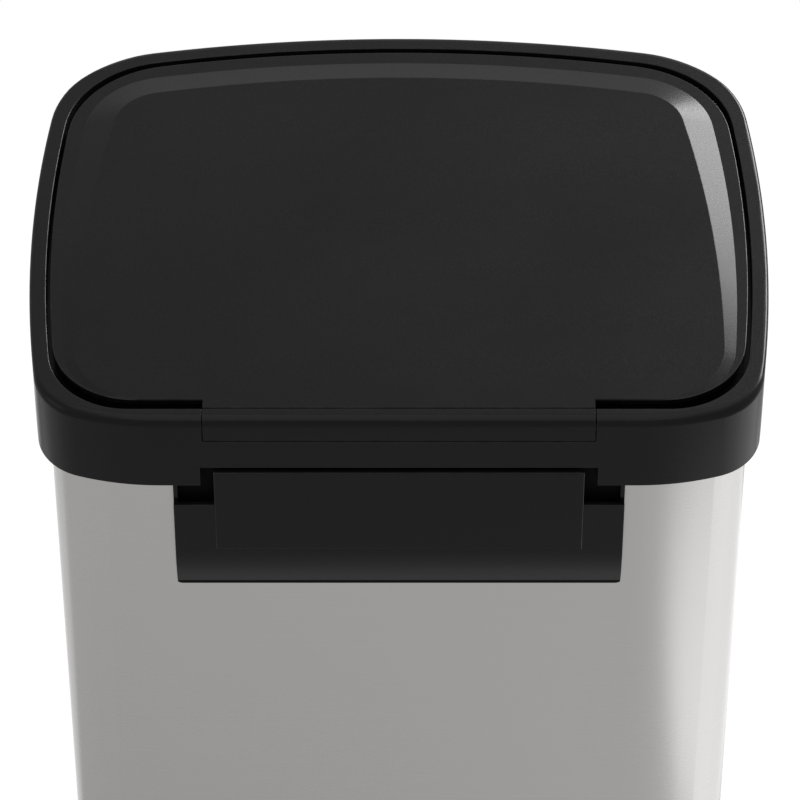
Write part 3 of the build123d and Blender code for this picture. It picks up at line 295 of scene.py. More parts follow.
def quarter(shape, edge, height, radius, across, up, steps=3):
    """Stations round an edge, from its flat side to its upright side."""
    stations = []
    for step in range(steps + 1):
        turn = pi / 2 * step / steps
        inward = edge + across * radius * (1 - sin(turn))
        stations.append(dict(shape(inward), height=height + up * radius * (1 - cos(turn))))
    return stations


def between(first, second, part):
    """A station part of the way from one to another."""
    return {key: first[key] + (second[key] - first[key]) * part for key in first}


def sweep(bm, stations, closed):
    """Loops at the stations, joined one to the next, and either closed on themselves or capped.

    The loops are spun and joined well apart, because coplanar loops join with a twist, and each
    is then moved to its own height and tilt about the plateau's rear edge."""
    loops = []
    for number, station in enumerate(stations):
        shape = {key: value for key, value in station.items() if key not in ("height", "tilt")}
        loops.append(plan_loop(bm, number * APART, **shape))
    for first, second in zip(loops, loops[1:]):
        bmesh.ops.bridge_loops(bm, edges=first + second)
    if closed:
        bmesh.ops.bridge_loops(bm, edges=loops[-1] + loops[0])
    else:
        bmesh.ops.edgeloop_fill(bm, edges=loops[0])
        bmesh.ops.edgeloop_fill(bm, edges=loops[-1])
    pivot = REAR - bpy.context.scene.bin_lid.rear
    for number, (station, loop) in enumerate(zip(stations, loops)):
        tilt = station.get("tilt", 0.0)
        rise = station["height"] - number * APART + tilt * pivot
        place = Matrix(((1, 0, 0, 0), (0, 1, 0, 0), (0, -tilt, 1, rise), (0, 0, 0, 1)))
        bmesh.ops.transform(bm, matrix=place, verts=list({vert for edge in loop for vert in edge.verts}))


# Mesh helpers

def new_piece(name, bm):
    """A finished mesh as an object at the origin."""
    bmesh.ops.remove_doubles(bm, verts=bm.verts, dist=1e-7)
    bmesh.ops.recalc_face_normals(bm, faces=bm.faces)
    mesh = bpy.data.meshes.new(name)
    bm.to_mesh(mesh)
    bm.free()
    piece = bpy.data.objects.new(name, mesh)
    bpy.context.scene.collection.objects.link(piece)
    return piece


def add_block(bm, x_low, x_high, depth_low, depth_high, low, high):
    """A box between two X places, two depths and two heights."""
    size = Vector((x_high - x_low, depth_high - depth_low, high - low))
    middle = Vector(((x_low + x_high) / 2, REAR - (depth_low + depth_high) / 2, (low + high) / 2))
    made = bmesh.ops.create_cube(bm, size=1.0, matrix=Matrix.Translation(middle) @ Matrix.Diagonal((*size, 1)))
    return made["verts"]


def add_bar(bm, radius, axis, start, end, segments=48):
    """A round bar between two points along X, Y or Z."""
    start, end = Vector(start), Vector(end)
    turn = {"X": Matrix.Rotation(pi / 2, 4, "Y"), "Y": Matrix.Rotation(pi / 2, 4, "X"), "Z": Matrix()}[axis]
    place = Matrix.Translation((start + end) / 2) @ turn
    bmesh.ops.create_cone(bm, cap_ends=True, segments=segments, radius1=radius, radius2=radius,
                          depth=(end - start).length, matrix=place)


def run_to(bm, tip, y, z):
    """A point extruded to a new place in its cross section, and the new point."""
    end = bmesh.ops.extrude_vert_indiv(bm, verts=[tip])["verts"][0]
    bmesh.ops.translate(bm, verts=[end], vec=Vector((tip.co.x, y, z)) - end.co)
    return end


def turn_about(bm, tip, centre, angle, steps):
    """A point spun about an axis along X, and the last point."""
    made = bmesh.ops.spin(bm, geom=[tip], cent=(tip.co.x, *centre), axis=(1, 0, 0), dvec=(0, 0, 0), angle=angle,
                          steps=steps, use_merge=False, use_duplicate=False)
    return made["geom_last"][0]


def pull_section(bm, width):
    """Fills a closed section and pulls it along X."""
    bmesh.ops.edgeloop_fill(bm, edges=bm.edges)
    made = bmesh.ops.extrude_face_region(bm, geom=bm.faces[:])
    moved = [item for item in made["geom"] if isinstance(item, bmesh.types.BMVert)]
    bmesh.ops.translate(bm, verts=moved, vec=(width, 0, 0))


def combine(piece, other, operation):
    """Cuts, joins or trims a piece by a bmesh, and keeps the result as the piece's mesh."""
    tool = new_piece(piece.name + "_tool", other)
    step = piece.modifiers.new("Combine", "BOOLEAN")
    step.operation = operation
    step.solver = "EXACT"
    step.object = tool
    bpy.context.view_layer.update()
    result = bpy.data.meshes.new_from_object(piece.evaluated_get(bpy.context.evaluated_depsgraph_get()))
    piece.modifiers.clear()
    old = piece.data
    piece.data = result
    result.name = piece.name
    bpy.data.meshes.remove(old)
    bpy.data.meshes.remove(tool.data)
    if len(result.polygons) < 6:
        raise RuntimeError(f"{piece.name}: the {operation.lower()} left no solid")


def combine_block(piece, operation, *place):
    """Cuts or joins one box."""
    bm = bmesh.new()
    add_block(bm, *place)
    combine(piece, bm, operation)


def soften(piece, width, sharper_than=30.0, segments=2, near=None):
    """Rounds the sharp edges of a finished mesh, all of them or those that a test picks."""
    bm = bmesh.new()
    bm.from_mesh(piece.data)
    bmesh.ops.remove_doubles(bm, verts=bm.verts, dist=2e-6)
    bmesh.ops.dissolve_degenerate(bm, edges=bm.edges, dist=2e-6)
    bmesh.ops.dissolve_limit(bm, angle_limit=radians(0.3), use_dissolve_boundaries=False,
                             verts=bm.verts, edges=bm.edges, delimit={"NORMAL"})
    sharp = [edge for edge in bm.edges if edge.is_manifold and edge.calc_face_angle(0) > radians(sharper_than)
             and (near is None or near((edge.verts[0].co + edge.verts[1].co) / 2))]
    bmesh.ops.bevel(bm, geom=sharp, offset=width, offset_type="OFFSET", affect="EDGES", segments=segments,
                    profile=0.5, material=-1, clamp_overlap=True)
    bmesh.ops.delete(bm, geom=[edge for edge in bm.edges if not edge.link_faces], context="EDGES")
    bm.to_mesh(piece.data)
    bm.free()


def finish_piece(piece, body, node, material):
    """Smooth shading with flat faces kept flat, then the finish, the body it rides and the node it stands for."""
    piece.data.shade_smooth()
    piece.data.set_sharp_from_angle(angle=radians(40))
    weighted = piece.modifiers.new("Flat faces", "WEIGHTED_NORMAL")
    weighted.keep_sharp = True
    weighted.weight = 100
    piece.data.materials.clear()
    piece.data.materials.append(bpy.data.materials[material])
    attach(piece, body)
    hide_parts(node)


def soft_copy(node, width, body, material):
    """A copy of a solid's mesh with its sharp edges rounded, to stand for the solid."""
    source = frame["nodes"][node]
    piece = bpy.data.objects.new(node + "_skin", source.data.copy())
    bpy.context.scene.collection.objects.link(piece)
    soften(piece, width)
    finish_piece(piece, body, node, material)
    return piece


# Node groups that several finishes share

def open_group(name, inputs, outputs):
    """A new shader node group with float or colour sockets, and its input and output nodes."""
    group = bpy.data.node_groups.new(name, "ShaderNodeTree")
    for label, kind, default in inputs:
        socket = group.interface.new_socket(name=label, in_out="INPUT", socket_type=kind)
        socket.default_value = default
    for label, kind in outputs:
        group.interface.new_socket(name=label, in_out="OUTPUT", socket_type=kind)
    return group, group.nodes.new("NodeGroupInput"), group.nodes.new("NodeGroupOutput")


def feed(tree, place, value):
    """Links an input to a socket, or sets it to a value."""
    if isinstance(value, bpy.types.NodeSocket):
        tree.links.new(value, place)
    else:
        place.default_value = value


def add_math(tree, operation, *values, clamp=False):
    """A Math node fed by sockets or numbers, and its output."""
    node = tree.nodes.new("ShaderNodeMath")
    node.operation = operation
    node.use_clamp = clamp
    for place, value in zip(node.inputs, values):
        feed(tree, place, value)
    return node.outputs[0]


def add_blend(tree, first, weight, second):
    """Two values added with weights that make one."""
    return add_math(tree, "ADD", add_math(tree, "MULTIPLY", first, weight),
                    add_math(tree, "MULTIPLY", second, 1 - weight))


def add_noise(tree, vector, scale, detail=3.0, roughness=0.5):
    """A Noise Texture on a vector, and its value."""
    node = tree.nodes.new("ShaderNodeTexNoise")
    for label, value in (("Vector", vector), ("Scale", scale), ("Detail", detail), ("Roughness", roughness)):
        feed(tree, node.inputs[label], value)
    return node.outputs["Fac"]


def add_range(tree, value, low, high, to_low=0.0, to_high=1.0):
    """A clamped Map Range node, and its result."""
    node = tree.nodes.new("ShaderNodeMapRange")
    labels = ("Value", "From Min", "From Max", "To Min", "To Max")
    for label, given in zip(labels, (value, low, high, to_low, to_high)):
        feed(tree, node.inputs[label], given)
    return node.outputs["Result"]


def object_place(tree):
    return tree.nodes.new("ShaderNodeTexCoord").outputs["Object"]


def seen_rays(tree):
    """1 on camera, glossy and transmission rays, 0 on the rays that light the object."""
    path = tree.nodes.new("ShaderNodeLightPath").outputs
    seen = add_math(tree, "MAXIMUM", path["Is Camera Ray"], path["Is Glossy Ray"])
    return add_math(tree, "MAXIMUM", seen, path["Is Transmission Ray"])


def moulded_grain_group():
    """Fine spark-eroded grain of moulded plastic: a height and a speckle."""
    group, given, result = open_group("moulded_grain", [("Size", "NodeSocketFloat", 0.0007)],
                                      [("Height", "NodeSocketFloat"), ("Speckle", "NodeSocketFloat")])
    place = object_place(group)
    scale = add_math(group, "DIVIDE", 1.0, given.outputs["Size"])
    fine = add_noise(group, place, scale, 2.0, 0.55)
    coarse = add_noise(group, place, add_math(group, "MULTIPLY", scale, 0.37), 1.0, 0.5)
    group.links.new(add_blend(group, fine, 0.65, coarse), result.inputs["Height"])
    group.links.new(add_range(group, fine, 0.35, 0.65), result.inputs["Speckle"])
    return group


def worn_edges_group():
    """A broken mask along the sharp edges, where hands and cloths polish them."""
    group, given, result = open_group("worn_edges", [("Width", "NodeSocketFloat", 0.0012),
                                                     ("Breakup", "NodeSocketFloat", 90.0)],
                                      [("Mask", "NodeSocketFloat")])
    rounded = group.nodes.new("ShaderNodeBevel")
    rounded.samples = 4
    group.links.new(given.outputs["Width"], rounded.inputs["Radius"])
    plain = group.nodes.new("ShaderNodeNewGeometry")
    facing = group.nodes.new("ShaderNodeVectorMath")
    facing.operation = "DOT_PRODUCT"
    group.links.new(rounded.outputs["Normal"], facing.inputs[0])
    group.links.new(plain.outputs["Normal"], facing.inputs[1])
    edge = add_range(group, facing.outputs["Value"], 0.995, 0.93)
    patches = add_range(group, add_noise(group, object_place(group), given.outputs["Breakup"], 4.0, 0.6), 0.4, 0.65)
    group.links.new(add_math(group, "MULTIPLY", edge, patches), result.inputs["Mask"])
    return group


def settled_dust_group():
    """Patchy dust on faces that look up."""
    group, given, result = open_group("settled_dust", [("Amount", "NodeSocketFloat", 0.5)],
                                      [("Mask", "NodeSocketFloat")])
    plain = group.nodes.new("ShaderNodeNewGeometry")
    split = group.nodes.new("ShaderNodeSeparateXYZ")
    group.links.new(plain.outputs["Normal"], split.inputs["Vector"])
    upward = add_range(group, split.outputs["Z"], 0.5, 0.95)
    place = object_place(group)
    patches = add_range(group, add_noise(group, place, 9.0, 5.0, 0.6), 0.35, 0.7)
    specks = add_range(group, add_noise(group, place, 900.0, 2.0, 0.6), 0.5, 0.75)
    mask = add_math(group, "MULTIPLY", add_blend(group, patches, 0.6, specks), upward)
    mask = add_math(group, "MULTIPLY", mask, given.outputs["Amount"], clamp=True)
    group.links.new(mask, result.inputs["Mask"])
    return group


def drawn_grain_group():
    """Long fine lines of rolled, brushed or drawn metal, stretched by a vector."""
    group, given, result = open_group("drawn_grain", [("Stretch", "NodeSocketVector", (6.0, 6.0, 900.0))],
                                      [("Height", "NodeSocketFloat"), ("Streak", "NodeSocketFloat"),
                                       ("Smear", "NodeSocketFloat")])
    place = object_place(group)
    stretched = group.nodes.new("ShaderNodeVectorMath")
    stretched.operation = "MULTIPLY"
    group.links.new(place, stretched.inputs[0])
    group.links.new(given.outputs["Stretch"], stretched.inputs[1])
    fine = add_noise(group, stretched.outputs["Vector"], 1.0, 3.0, 0.65)
    broad = add_noise(group, stretched.outputs["Vector"], 0.13, 2.0, 0.5)
    group.links.new(add_blend(group, fine, 0.8, broad), result.inputs["Height"])
    group.links.new(add_range(group, fine, 0.3, 0.7), result.inputs["Streak"])
    group.links.new(add_range(group, add_noise(group, place, 7.0, 4.0, 0.6), 0.3, 0.7), result.inputs["Smear"])
    return group


def place_group(tree, name, **values):
    """A node group in a material, with its own values."""
    node = tree.nodes.new("ShaderNodeGroup")
    node.node_tree = bpy.data.node_groups[name]
    for label, value in values.items():
        node.inputs[label].default_value = value
    return node


def mix_colour(tree, factor, first, second):
    """A colour mix of fixed colours or sockets, and its result."""
    node = tree.nodes.new("ShaderNodeMix")
    node.data_type = "RGBA"
    tree.links.new(factor, node.inputs["Factor"])
    for place, value in zip([socket for socket in node.inputs if socket.type == "RGBA"], (first, second)):
        feed(tree, place, value if isinstance(value, bpy.types.NodeSocket) else (*value, 1))
    return next(socket for socket in node.outputs if socket.type == "RGBA")


def open_material(name):
    material = bpy.data.materials.new(name)
    material.use_nodes = True
    return material, material.node_tree, material.node_tree.nodes["Principled BSDF"]


def add_bump(tree, shader, height, strength, distance):
    bump = tree.nodes.new("ShaderNodeBump")
    bump.inputs["Strength"].default_value = strength
    bump.inputs["Distance"].default_value = distance
    tree.links.new(height, bump.inputs["Height"])
    tree.links.new(bump.outputs["Normal"], shader.inputs["Normal"])


def lighter(base, amount):
    return tuple(value + (1 - value) * amount for value in base)


def darker(base, amount):
    return tuple(value * (1 - amount) for value in base)


def moulded_plastic(name, base, roughness, specular, grain, depth, dust, wear):
    """Moulded plastic with spark grain, dust on top and polished edges."""
    material, tree, shader = open_material(name)
    grain = place_group(tree, "moulded_grain", Size=grain)
    edges = place_group(tree, "worn_edges")
    dusty = place_group(tree, "settled_dust", Amount=dust)
    mottled = mix_colour(tree, grain.outputs["Speckle"], darker(base, 0.1), lighter(base, 0.001))
    worn = mix_colour(tree, add_math(tree, "MULTIPLY", edges.outputs["Mask"], wear), mottled, lighter(base, 0.12))
    dust_cover, dust_colour = 0.012, (0.42, 0.41, 0.39)
    final = mix_colour(tree, add_math(tree, "MULTIPLY", dusty.outputs["Mask"], dust_cover), worn, dust_colour)
    tree.links.new(final, shader.inputs["Base Color"])
    rough = add_range(tree, grain.outputs["Speckle"], 0, 1, roughness - 0.04, roughness + 0.04)
    rough = add_math(tree, "SUBTRACT", rough, add_math(tree, "MULTIPLY", edges.outputs["Mask"], 0.12 * wear))
    rough = add_math(tree, "ADD", rough, add_math(tree, "MULTIPLY", dusty.outputs["Mask"], 0.08))
    tree.links.new(rough, shader.inputs["Roughness"])
    # The grain shades itself at a low angle, so the mirror-like rim of smooth plastic stays weak there.
    grazing = tree.nodes.new("ShaderNodeLayerWeight")
    sheen = add_range(tree, grazing.outputs["Facing"], 0.5, 0.75, specular, 0.1 * specular)
    tree.links.new(sheen, shader.inputs["Specular IOR Level"])
    add_bump(tree, shader, grain.outputs["Height"], 1.0, depth)
    return material


def plain_metal(name, base, roughness, stretch, depth, smear, wear=0.3, contrast=0.05, edge_tint=1.0):
    """Metal with long fine lines, faint smears and brighter edges."""
    material, tree, shader = open_material(name)
    lines = place_group(tree, "drawn_grain", Stretch=stretch)
    edges = place_group(tree, "worn_edges", Width=0.0008)
    streaked = mix_colour(tree, lines.outputs["Streak"], darker(base, contrast), lighter(base, contrast / 2))
    worn = mix_colour(tree, add_math(tree, "MULTIPLY", edges.outputs["Mask"], wear), streaked, lighter(base, 0.3))
    tree.links.new(worn, shader.inputs["Base Color"])
    swing = 0.6 * contrast
    rough = add_range(tree, lines.outputs["Streak"], 0, 1, roughness - swing, roughness + swing)
    rough = add_math(tree, "ADD", rough, add_math(tree, "MULTIPLY", lines.outputs["Smear"], smear))
    tree.links.new(rough, shader.inputs["Roughness"])
    shader.inputs["Metallic"].default_value = 1.0
    shader.inputs["Specular Tint"].default_value = (edge_tint, edge_tint, edge_tint, 1)
    add_bump(tree, shader, lines.outputs["Height"], 1.0, depth)
    return material


FINISHES = {
    "black_plastic": "black_moulding", "liner_plastic": "inner_moulding", "floor_plastic": "inner_moulding",
    "satin_steel": "satin_sheet", "bucket_grey": "grey_bucket", "bucket_blue": "blue_bucket",
    "guide_plastic": "natural_guide", "soft_rubber": "ribbed_rubber", "sheet_steel": "zinc_sheet",
    "damper_black": "damper_tube", "bright_steel": "drawn_bar", "screw_steel": "zinc_screw",
}


class BIN_OT_finishes(bpy.types.Operator):
    """Make the finishes and dress every solid in the one of its slot"""

    bl_idname = "bin.finishes"
    bl_label = "Finishes"

    def execute(self, context):
        tones = context.scene.bin_colours
        for build in (moulded_grain_group, worn_edges_group, settled_dust_group, drawn_grain_group):
            build()
        # Name, colour, roughness, specular level, grain size, grain depth, dust, wear
        for values in (
                ("black_moulding", tones.black, 0.23, 0.09, 0.0007, 0.000008, 0.5, 0.1),
                # Painted shade: a darker, duller copy of the black moulding for the shadowed wall behind the cover
                ("shaded_moulding", darker(tones.black, 0.7), 0.6, 0.03, 0.0007, 0.000008, 0.0, 0.0),
                ("inner_moulding", tones.liner, 0.36, 0.35, 0.0009, 0.000015, 0.3, 0.2),
                ("grey_bucket", tones.grey, 0.38, 0.45, 0.0011, 0.00002, 0.2, 0.5),
                ("blue_bucket", tones.blue, 0.38, 0.45, 0.0011, 0.00002, 0.2, 0.5),
                ("natural_guide", tones.natural, 0.42, 0.45, 0.0008, 0.00001, 0.2, 0.1),
                ("ribbed_rubber", tones.rubber, 0.72, 0.3, 0.0005, 0.00003, 0.8, 0.6),
                ("damper_tube", tones.damper, 0.25, 0.5, 0.002, 0.000006, 0.3, 0.8)):
            moulded_plastic(*values)
        # Name, colour, roughness, stretch of the lines, their depth, smear, edge wear, contrast, edge tint
        for values in (
                ("satin_sheet", tones.steel, 0.27, (2.5, 2.5, 2400.0), 0.0000004, 0.02, 0.0, 0.012, 0.7),
                ("zinc_sheet", tones.sheet, 0.42, (260.0, 30.0, 260.0), 0.00001, 0.12),
                ("drawn_bar", tones.bright, 0.24, (1500.0, 1500.0, 12.0), 0.000004, 0.06),
                ("blackened_bar", tones.damper, 0.5, (1500.0, 1500.0, 12.0), 0.000004, 0.06),
                ("zinc_screw", tones.screw, 0.38, (700.0, 700.0, 700.0), 0.00001, 0.1, 0.8)):
            plain_metal(*values)
        slots = {part["node"]: part["material_slot"] for part in frame["record"]["subparts"]}
        for node, solid in frame["nodes"].items():
            solid.data.materials.clear()
            finish = "blackened_bar" if node == "hinge_pins" else FINISHES[slots[node]]
            solid.data.materials.append(bpy.data.materials[finish])
        return {"FINISHED"}


class BIN_OT_collar(bpy.types.Operator):
    """Sweep the collar's profile round the plan, then cut the hinge gap, notch, slot and holes"""

    bl_idname = "bin.collar"
    bl_label = "Collar"

    def execute(self, context):
        size = context.scene.bin_collar
        hinge = context.scene.bin_hinge

        def wall(inward):
            return dict(inset=inward)

        def groove(inward):
            return dict(inset=size.ring + inward, corner=size.ring_rear_corner - inward,
                        front=size.ring_front + inward, front_corner=size.ring_front_corner - inward)

        def mouth(inward):
            return dict(inset=size.mouth_inset + inward, rear=size.mouth_rear + inward,
                        corner=size.mouth_corner - inward, front=size.mouth_front + inward)

        bottom = TOP - size.height
        roof = TOP - size.wall
        ledge = TOP - size.ledge_drop
        under = TOP - size.ledge_drop - size.wall
        lip = TOP - size.mouth_lip
        seat = TOP - size.seat_drop
        skirt = TOP - size.skirt_drop
        inner = 2 * size.wall - size.edge
        inside = ((mouth, 0, lip), (mouth, -size.wall, lip), (mouth, -size.wall, under),
                  (wall, size.skirt_inner, under), (wall, size.skirt_inner, skirt), (wall, size.skirt_outer, skirt),
                  (wall, size.skirt_outer, seat), (wall, inner, seat), (wall, inner, ledge),
                  (groove, -size.wall, ledge), (groove, -size.wall, roof), (wall, size.wall, roof),
                  (wall, size.wall, bottom))

        def profile(shoulder):
            stations = quarter(wall, 0, bottom, size.edge, 1, 1)
            stations += reversed(quarter(wall, 0, TOP, shoulder, 1, -1, steps=8))
            stations += quarter(groove, 0, TOP, size.edge, -1, -1)
            stations += [dict(groove(0), height=ledge)]
            stations += quarter(mouth, 0, ledge, size.edge, -1, -1)
            return stations + [dict(shape(inward), height=height) for shape, inward, height in inside]

        bm = bmesh.new()
        sweep(bm, profile(size.shoulder), closed=True)
        tight = bmesh.new()
        sweep(tight, profile(size.side_shoulder), closed=True)
        front = REAR - context.scene.bin_plan.depth
        for vert, tight_vert in zip(bm.verts, tight.verts):
            behind, ahead = REAR - vert.co.y, vert.co.y - front
            part = max((size.shoulder_start - behind) / (size.shoulder_start - size.shoulder_end),
                       (size.shoulder_start - ahead) / (size.shoulder_start - size.shoulder_end_front))
            part = min(max(part, 0.0), 1.0)
            vert.co = tight_vert.co.lerp(vert.co, part * part * (3 - 2 * part))
        tight.free()
        piece = new_piece("collar_skin", bm)

        # The boss blocks start inside the wall, clear of the rounded shoulder.
        boss = hinge.half + hinge.pin_in_boss + size.wall
        sunk = 0.8 * size.wall
        clear = 0.0002
        combine_block(piece, "UNION", -boss, boss, sunk, size.skirt_inner - clear, seat + clear, TOP - sunk)
        half = hinge.half
        y, z = HINGE[1:]
        combine_block(piece, "DIFFERENCE", -half, half, -PAST, hinge.depth + PAST, z, TOP + PAST)
        combine_block(piece, "DIFFERENCE", -half, half, hinge.depth, size.skirt_inner + PAST, ledge, TOP + PAST)
        bm = bmesh.new()
        add_bar(bm, hinge.barrel + hinge.gap, "X", (-half, y, z), (half, y, z), 96)
        combine(piece, bm, "DIFFERENCE")
        bm = bmesh.new()
        reach = half + hinge.pin_in_boss
        add_bar(bm, hinge.pin, "X", (-reach, y, z), (reach, y, z))
        add_block(bm, -size.notch_half, size.notch_half, -PAST, size.wall + PAST, bottom - PAST,
                  bottom + size.notch_height)
        add_block(bm, -size.slot_half, size.slot_half, size.skirt_inner, size.slot_front, under - PAST, TOP)
        combine(piece, bm, "DIFFERENCE")
        soften(piece, size.gap_edge, near=lambda point: abs(point.x) < half + 0.002 and point.y > REAR - 0.014)
        finish_piece(piece, "bin", "rim_collar", "black_moulding")
        return {"FINISHED"}


class BIN_OT_lid(bpy.types.Operator):
    """Sweep the lid from its plateau over the chamfer to its skirt, cut room for the hinge flange and join its tongue
    """

    bl_idname = "bin.lid"
    bl_label = "Lid"

    def execute(self, context):
        size = context.scene.bin_lid
        plan = context.scene.bin_plan
        hinge = context.scene.bin_hinge
        apart = 0.0003  # keeps the loops' rear runs from falling together

        def edge(inward):
            return dict(inset=size.inset + inward, rear=size.rear + inward, corner=size.rear_corner - inward,
                        front=size.front + inward, front_corner=size.front_corner - inward,
                        widest=plan.widest_depth, tilt=0.0)

        def margin(inward):
            return dict(inset=size.margin_inset + inward, rear=size.rear + apart + inward,
                        corner=size.margin_corner - inward, front=size.margin_front + inward,
                        front_corner=size.margin_front_corner - inward, widest=size.margin_widest, tilt=0.0,
                        height=TOP)

        def plateau(inward):
            return dict(inset=size.plateau_inset + inward, rear=size.rear + 2 * apart + inward,
                        corner=size.margin_corner - inward, front=size.plateau_front + inward,
                        front_corner=size.plateau_front_corner - inward, widest=size.plateau_widest,
                        tilt=size.slope, height=TOP + size.rear_rise)

        def skirt(inward, height):
            return dict(edge(inward + size.skirt_wall), rear=size.skirt_rear + inward, height=height)

        soft = 0.0004
        under = TOP - size.skin
        stations = [plateau(soft), plateau(soft / 4)]
        stations += [between(plateau(0), margin(0), part) for part in (0.015, 0.05, 0.95, 0.985)]
        stations += [dict(margin(apart - soft / 4), rear=size.rear + 0.0002),
                     dict(margin(apart - soft), rear=size.rear + 0.0001)]
        stations += [dict(station, rear=size.rear) for station in quarter(edge, 0, TOP, size.edge, 1, -1)]
        stations += [dict(edge(0), height=under)]
        for inward, heights in ((0, (under, TOP - size.skirt_drop)), (size.skirt_wall, (TOP - size.skirt_drop, under))):
            stations += [skirt(inward, height) for height in heights]
        bm = bmesh.new()
        sweep(bm, stations, closed=False)
        piece = new_piece("lid_skin", bm)

        tail = hinge.half - hinge.end_gap
        slack, hair = 0.0003, 0.00005
        combine_block(piece, "DIFFERENCE", -tail - slack, tail + slack, 0, hinge.flange_depth + slack,
                      TOP - size.skirt_drop - 2 * PAST, under - hair)
        combine_block(piece, "UNION", -tail, tail, size.tongue, size.rear + 2 * PAST, under, TOP + size.rear_rise)
        soften(piece, size.tongue_edge, near=lambda point: abs(point.x) < tail + 0.001 and point.y > REAR - 0.012)
        finish_piece(piece, "lid", "lid_shell", "black_moulding")
        return {"FINISHED"}


class BIN_OT_hinge(bpy.types.Operator):
    """Draw the hinge strip's section with its barrel and flange, and pull it to its width"""

    bl_idname = "bin.hinge"
    bl_label = "Hinge strip"

    def execute(self, context):
        size = context.scene.bin_hinge
        collar = context.scene.bin_collar
        lid = context.scene.bin_lid
        tail = size.half - size.end_gap
        y, z = HINGE[1:]
        flange_top = TOP - lid.skin
        flange_low = flange_top - size.flange_wall
        bm = bmesh.new()
        tip = bmesh.ops.create_vert(bm, co=(-tail, REAR - collar.ring, TOP))["vert"][0]
        tip = run_to(bm, tip, REAR - collar.shoulder, TOP)
        tip = turn_about(bm, tip, (REAR - collar.shoulder, TOP - collar.shoulder), -pi / 2, 8)
        lower = sqrt(size.barrel**2 - size.depth**2)
        tip = run_to(bm, tip, REAR, z - lower)
        upper = flange_low - z
        start = atan2(-lower, size.depth)
        end = atan2(upper, -sqrt(size.barrel**2 - upper**2))
        tip = turn_about(bm, tip, (y, z), -((start - end) % (2 * pi)), 40)
        for depth, height in ((size.flange_depth, flange_low), (size.flange_depth, flange_top),
                              (collar.ring, flange_top), (collar.ring, TOP)):
            tip = run_to(bm, tip, REAR - depth, height)
        bmesh.ops.remove_doubles(bm, verts=bm.verts, dist=1e-6)
        pull_section(bm, 2 * tail)
        piece = new_piece("hinge_skin", bm)
        bm = bmesh.new()
        for side in (-1, 1):
            start, end = sorted((side * (tail - size.pin_in_barrel), side * (tail + PAST)))
            add_bar(bm, size.pin + size.pin_gap, "X", (start, y, z), (end, y, z))
        combine(piece, bm, "DIFFERENCE")
        soften(piece, size.edge, near=lambda point: point.z > TOP - 0.02 and point.y > REAR - 0.012)
        finish_piece(piece, "lid", "hinge_tail", "black_moulding")
        return {"FINISHED"}


class BIN_OT_cover(bpy.types.Operator):
    """Draw the rear cover's section, pull it to its width, hollow it and join its plate"""

    bl_idname = "bin.cover"
    bl_label = "Rear cover"

    def execute(self, context):
        size = context.scene.bin_cover
        drop = size.bottom_drop - size.curve_drop
        radius = (drop**2 + size.overhang**2) / (2 * size.overhang)
        back = REAR - size.overhang
        bm = bmesh.new()
        tip = bmesh.ops.create_vert(bm, co=(-size.half - PAST, back, TOP - size.top_drop))["vert"][0]
        tip = run_to(bm, tip, REAR, TOP - size.top_drop)
        tip = run_to(bm, tip, REAR, TOP - size.curve_drop)
        angle = atan2(drop, radius - size.overhang)
        turn_about(bm, tip, (REAR - radius, TOP - size.curve_drop), -angle, 16)
        ends = [vert for vert in bm.verts if len(vert.link_edges) == 1]
        bmesh.ops.contextual_create(bm, geom=ends)
        pull_section(bm, 2 * (size.half + PAST))
        piece = new_piece("cover_skin", bm)

        bm = bmesh.new()
        add_block(bm, -size.half, size.half, -PAST, size.overhang + PAST, TOP - size.bottom_drop,
                  TOP - size.side_drop)
        low = [edge for edge in bm.edges if abs(edge.verts[0].co.y - edge.verts[1].co.y) > 0.001
               and edge.verts[0].co.z < TOP - size.curve_drop]
        bmesh.ops.bevel(bm, geom=low, offset=size.corner, affect="EDGES", segments=8, profile=0.5, material=-1)
        combine(piece, bm, "INTERSECT")
        inner = size.half - size.wall
        combine_block(piece, "DIFFERENCE", -inner, inner, size.wall, size.overhang - size.back_wall,
                      TOP - size.curve_drop, TOP - size.top_drop + PAST)
        bm = bmesh.new()
        overlap = 0.0005
        for side in (-1, 1):
            ends = sorted((side * inner, side * size.half))
            add_block(bm, *ends, size.side_inset, size.overhang, TOP - size.top_drop - overlap, TOP - size.side_drop)
        combine(piece, bm, "UNION")
        combine_block(piece, "UNION", -size.half, size.half, size.overhang - size.back_wall, size.overhang,
                      TOP - size.plate_bottom, TOP - size.back_drop)
        bm = bmesh.new()
        add_block(bm, -size.plate_half, size.plate_half, -size.plate_proud, size.plate_wall - size.plate_proud,
                  TOP - size.plate_bottom, TOP - size.plate_top)
        rim = [edge for edge in bm.edges if all(vert.co.y > REAR for vert in edge.verts)]
        bmesh.ops.bevel(bm, geom=rim, offset=size.plate_edge, affect="EDGES", segments=4, profile=0.5, material=-1)
        combine(piece, bm, "UNION")
        soften(piece, size.edge)
        finish_piece(piece, "bin", "rear_cover", "black_moulding")
        # The wall against the body gets the darker copy of the black moulding, as painted shade for the shadow behind
        # the windows and notch.
        piece.data.materials.append(bpy.data.materials["shaded_moulding"])
        back_face = REAR - size.overhang + size.back_wall
        close = 0.0002
        for face in piece.data.polygons:
            if face.normal.y > 0.9 and face.center.y < back_face + close:
                face.material_index = 1
        return {"FINISHED"}


class BIN_OT_base(bpy.types.Operator):
    """Round the edges of the plinth and the feet"""

    bl_idname = "bin.base"
    bl_label = "Base"

    def execute(self, context):
        soft_copy("base_plinth", 0.0006, "bin", "black_moulding")
        soft_copy("base_feet", 0.0008, "bin", "ribbed_rubber")
        return {"FINISHED"}


class BIN_OT_pedal(bpy.types.Operator):
    """Round the edges of the pedal and its lever"""

    bl_idname = "bin.pedal"
    bl_label = "Pedal"

    def execute(self, context):
        soft_copy("pedal_tread", 0.0004, "pedal", "ribbed_rubber")
        soft_copy("pedal_lever", 0.0006, "pedal", "zinc_sheet")
        return {"FINISHED"}


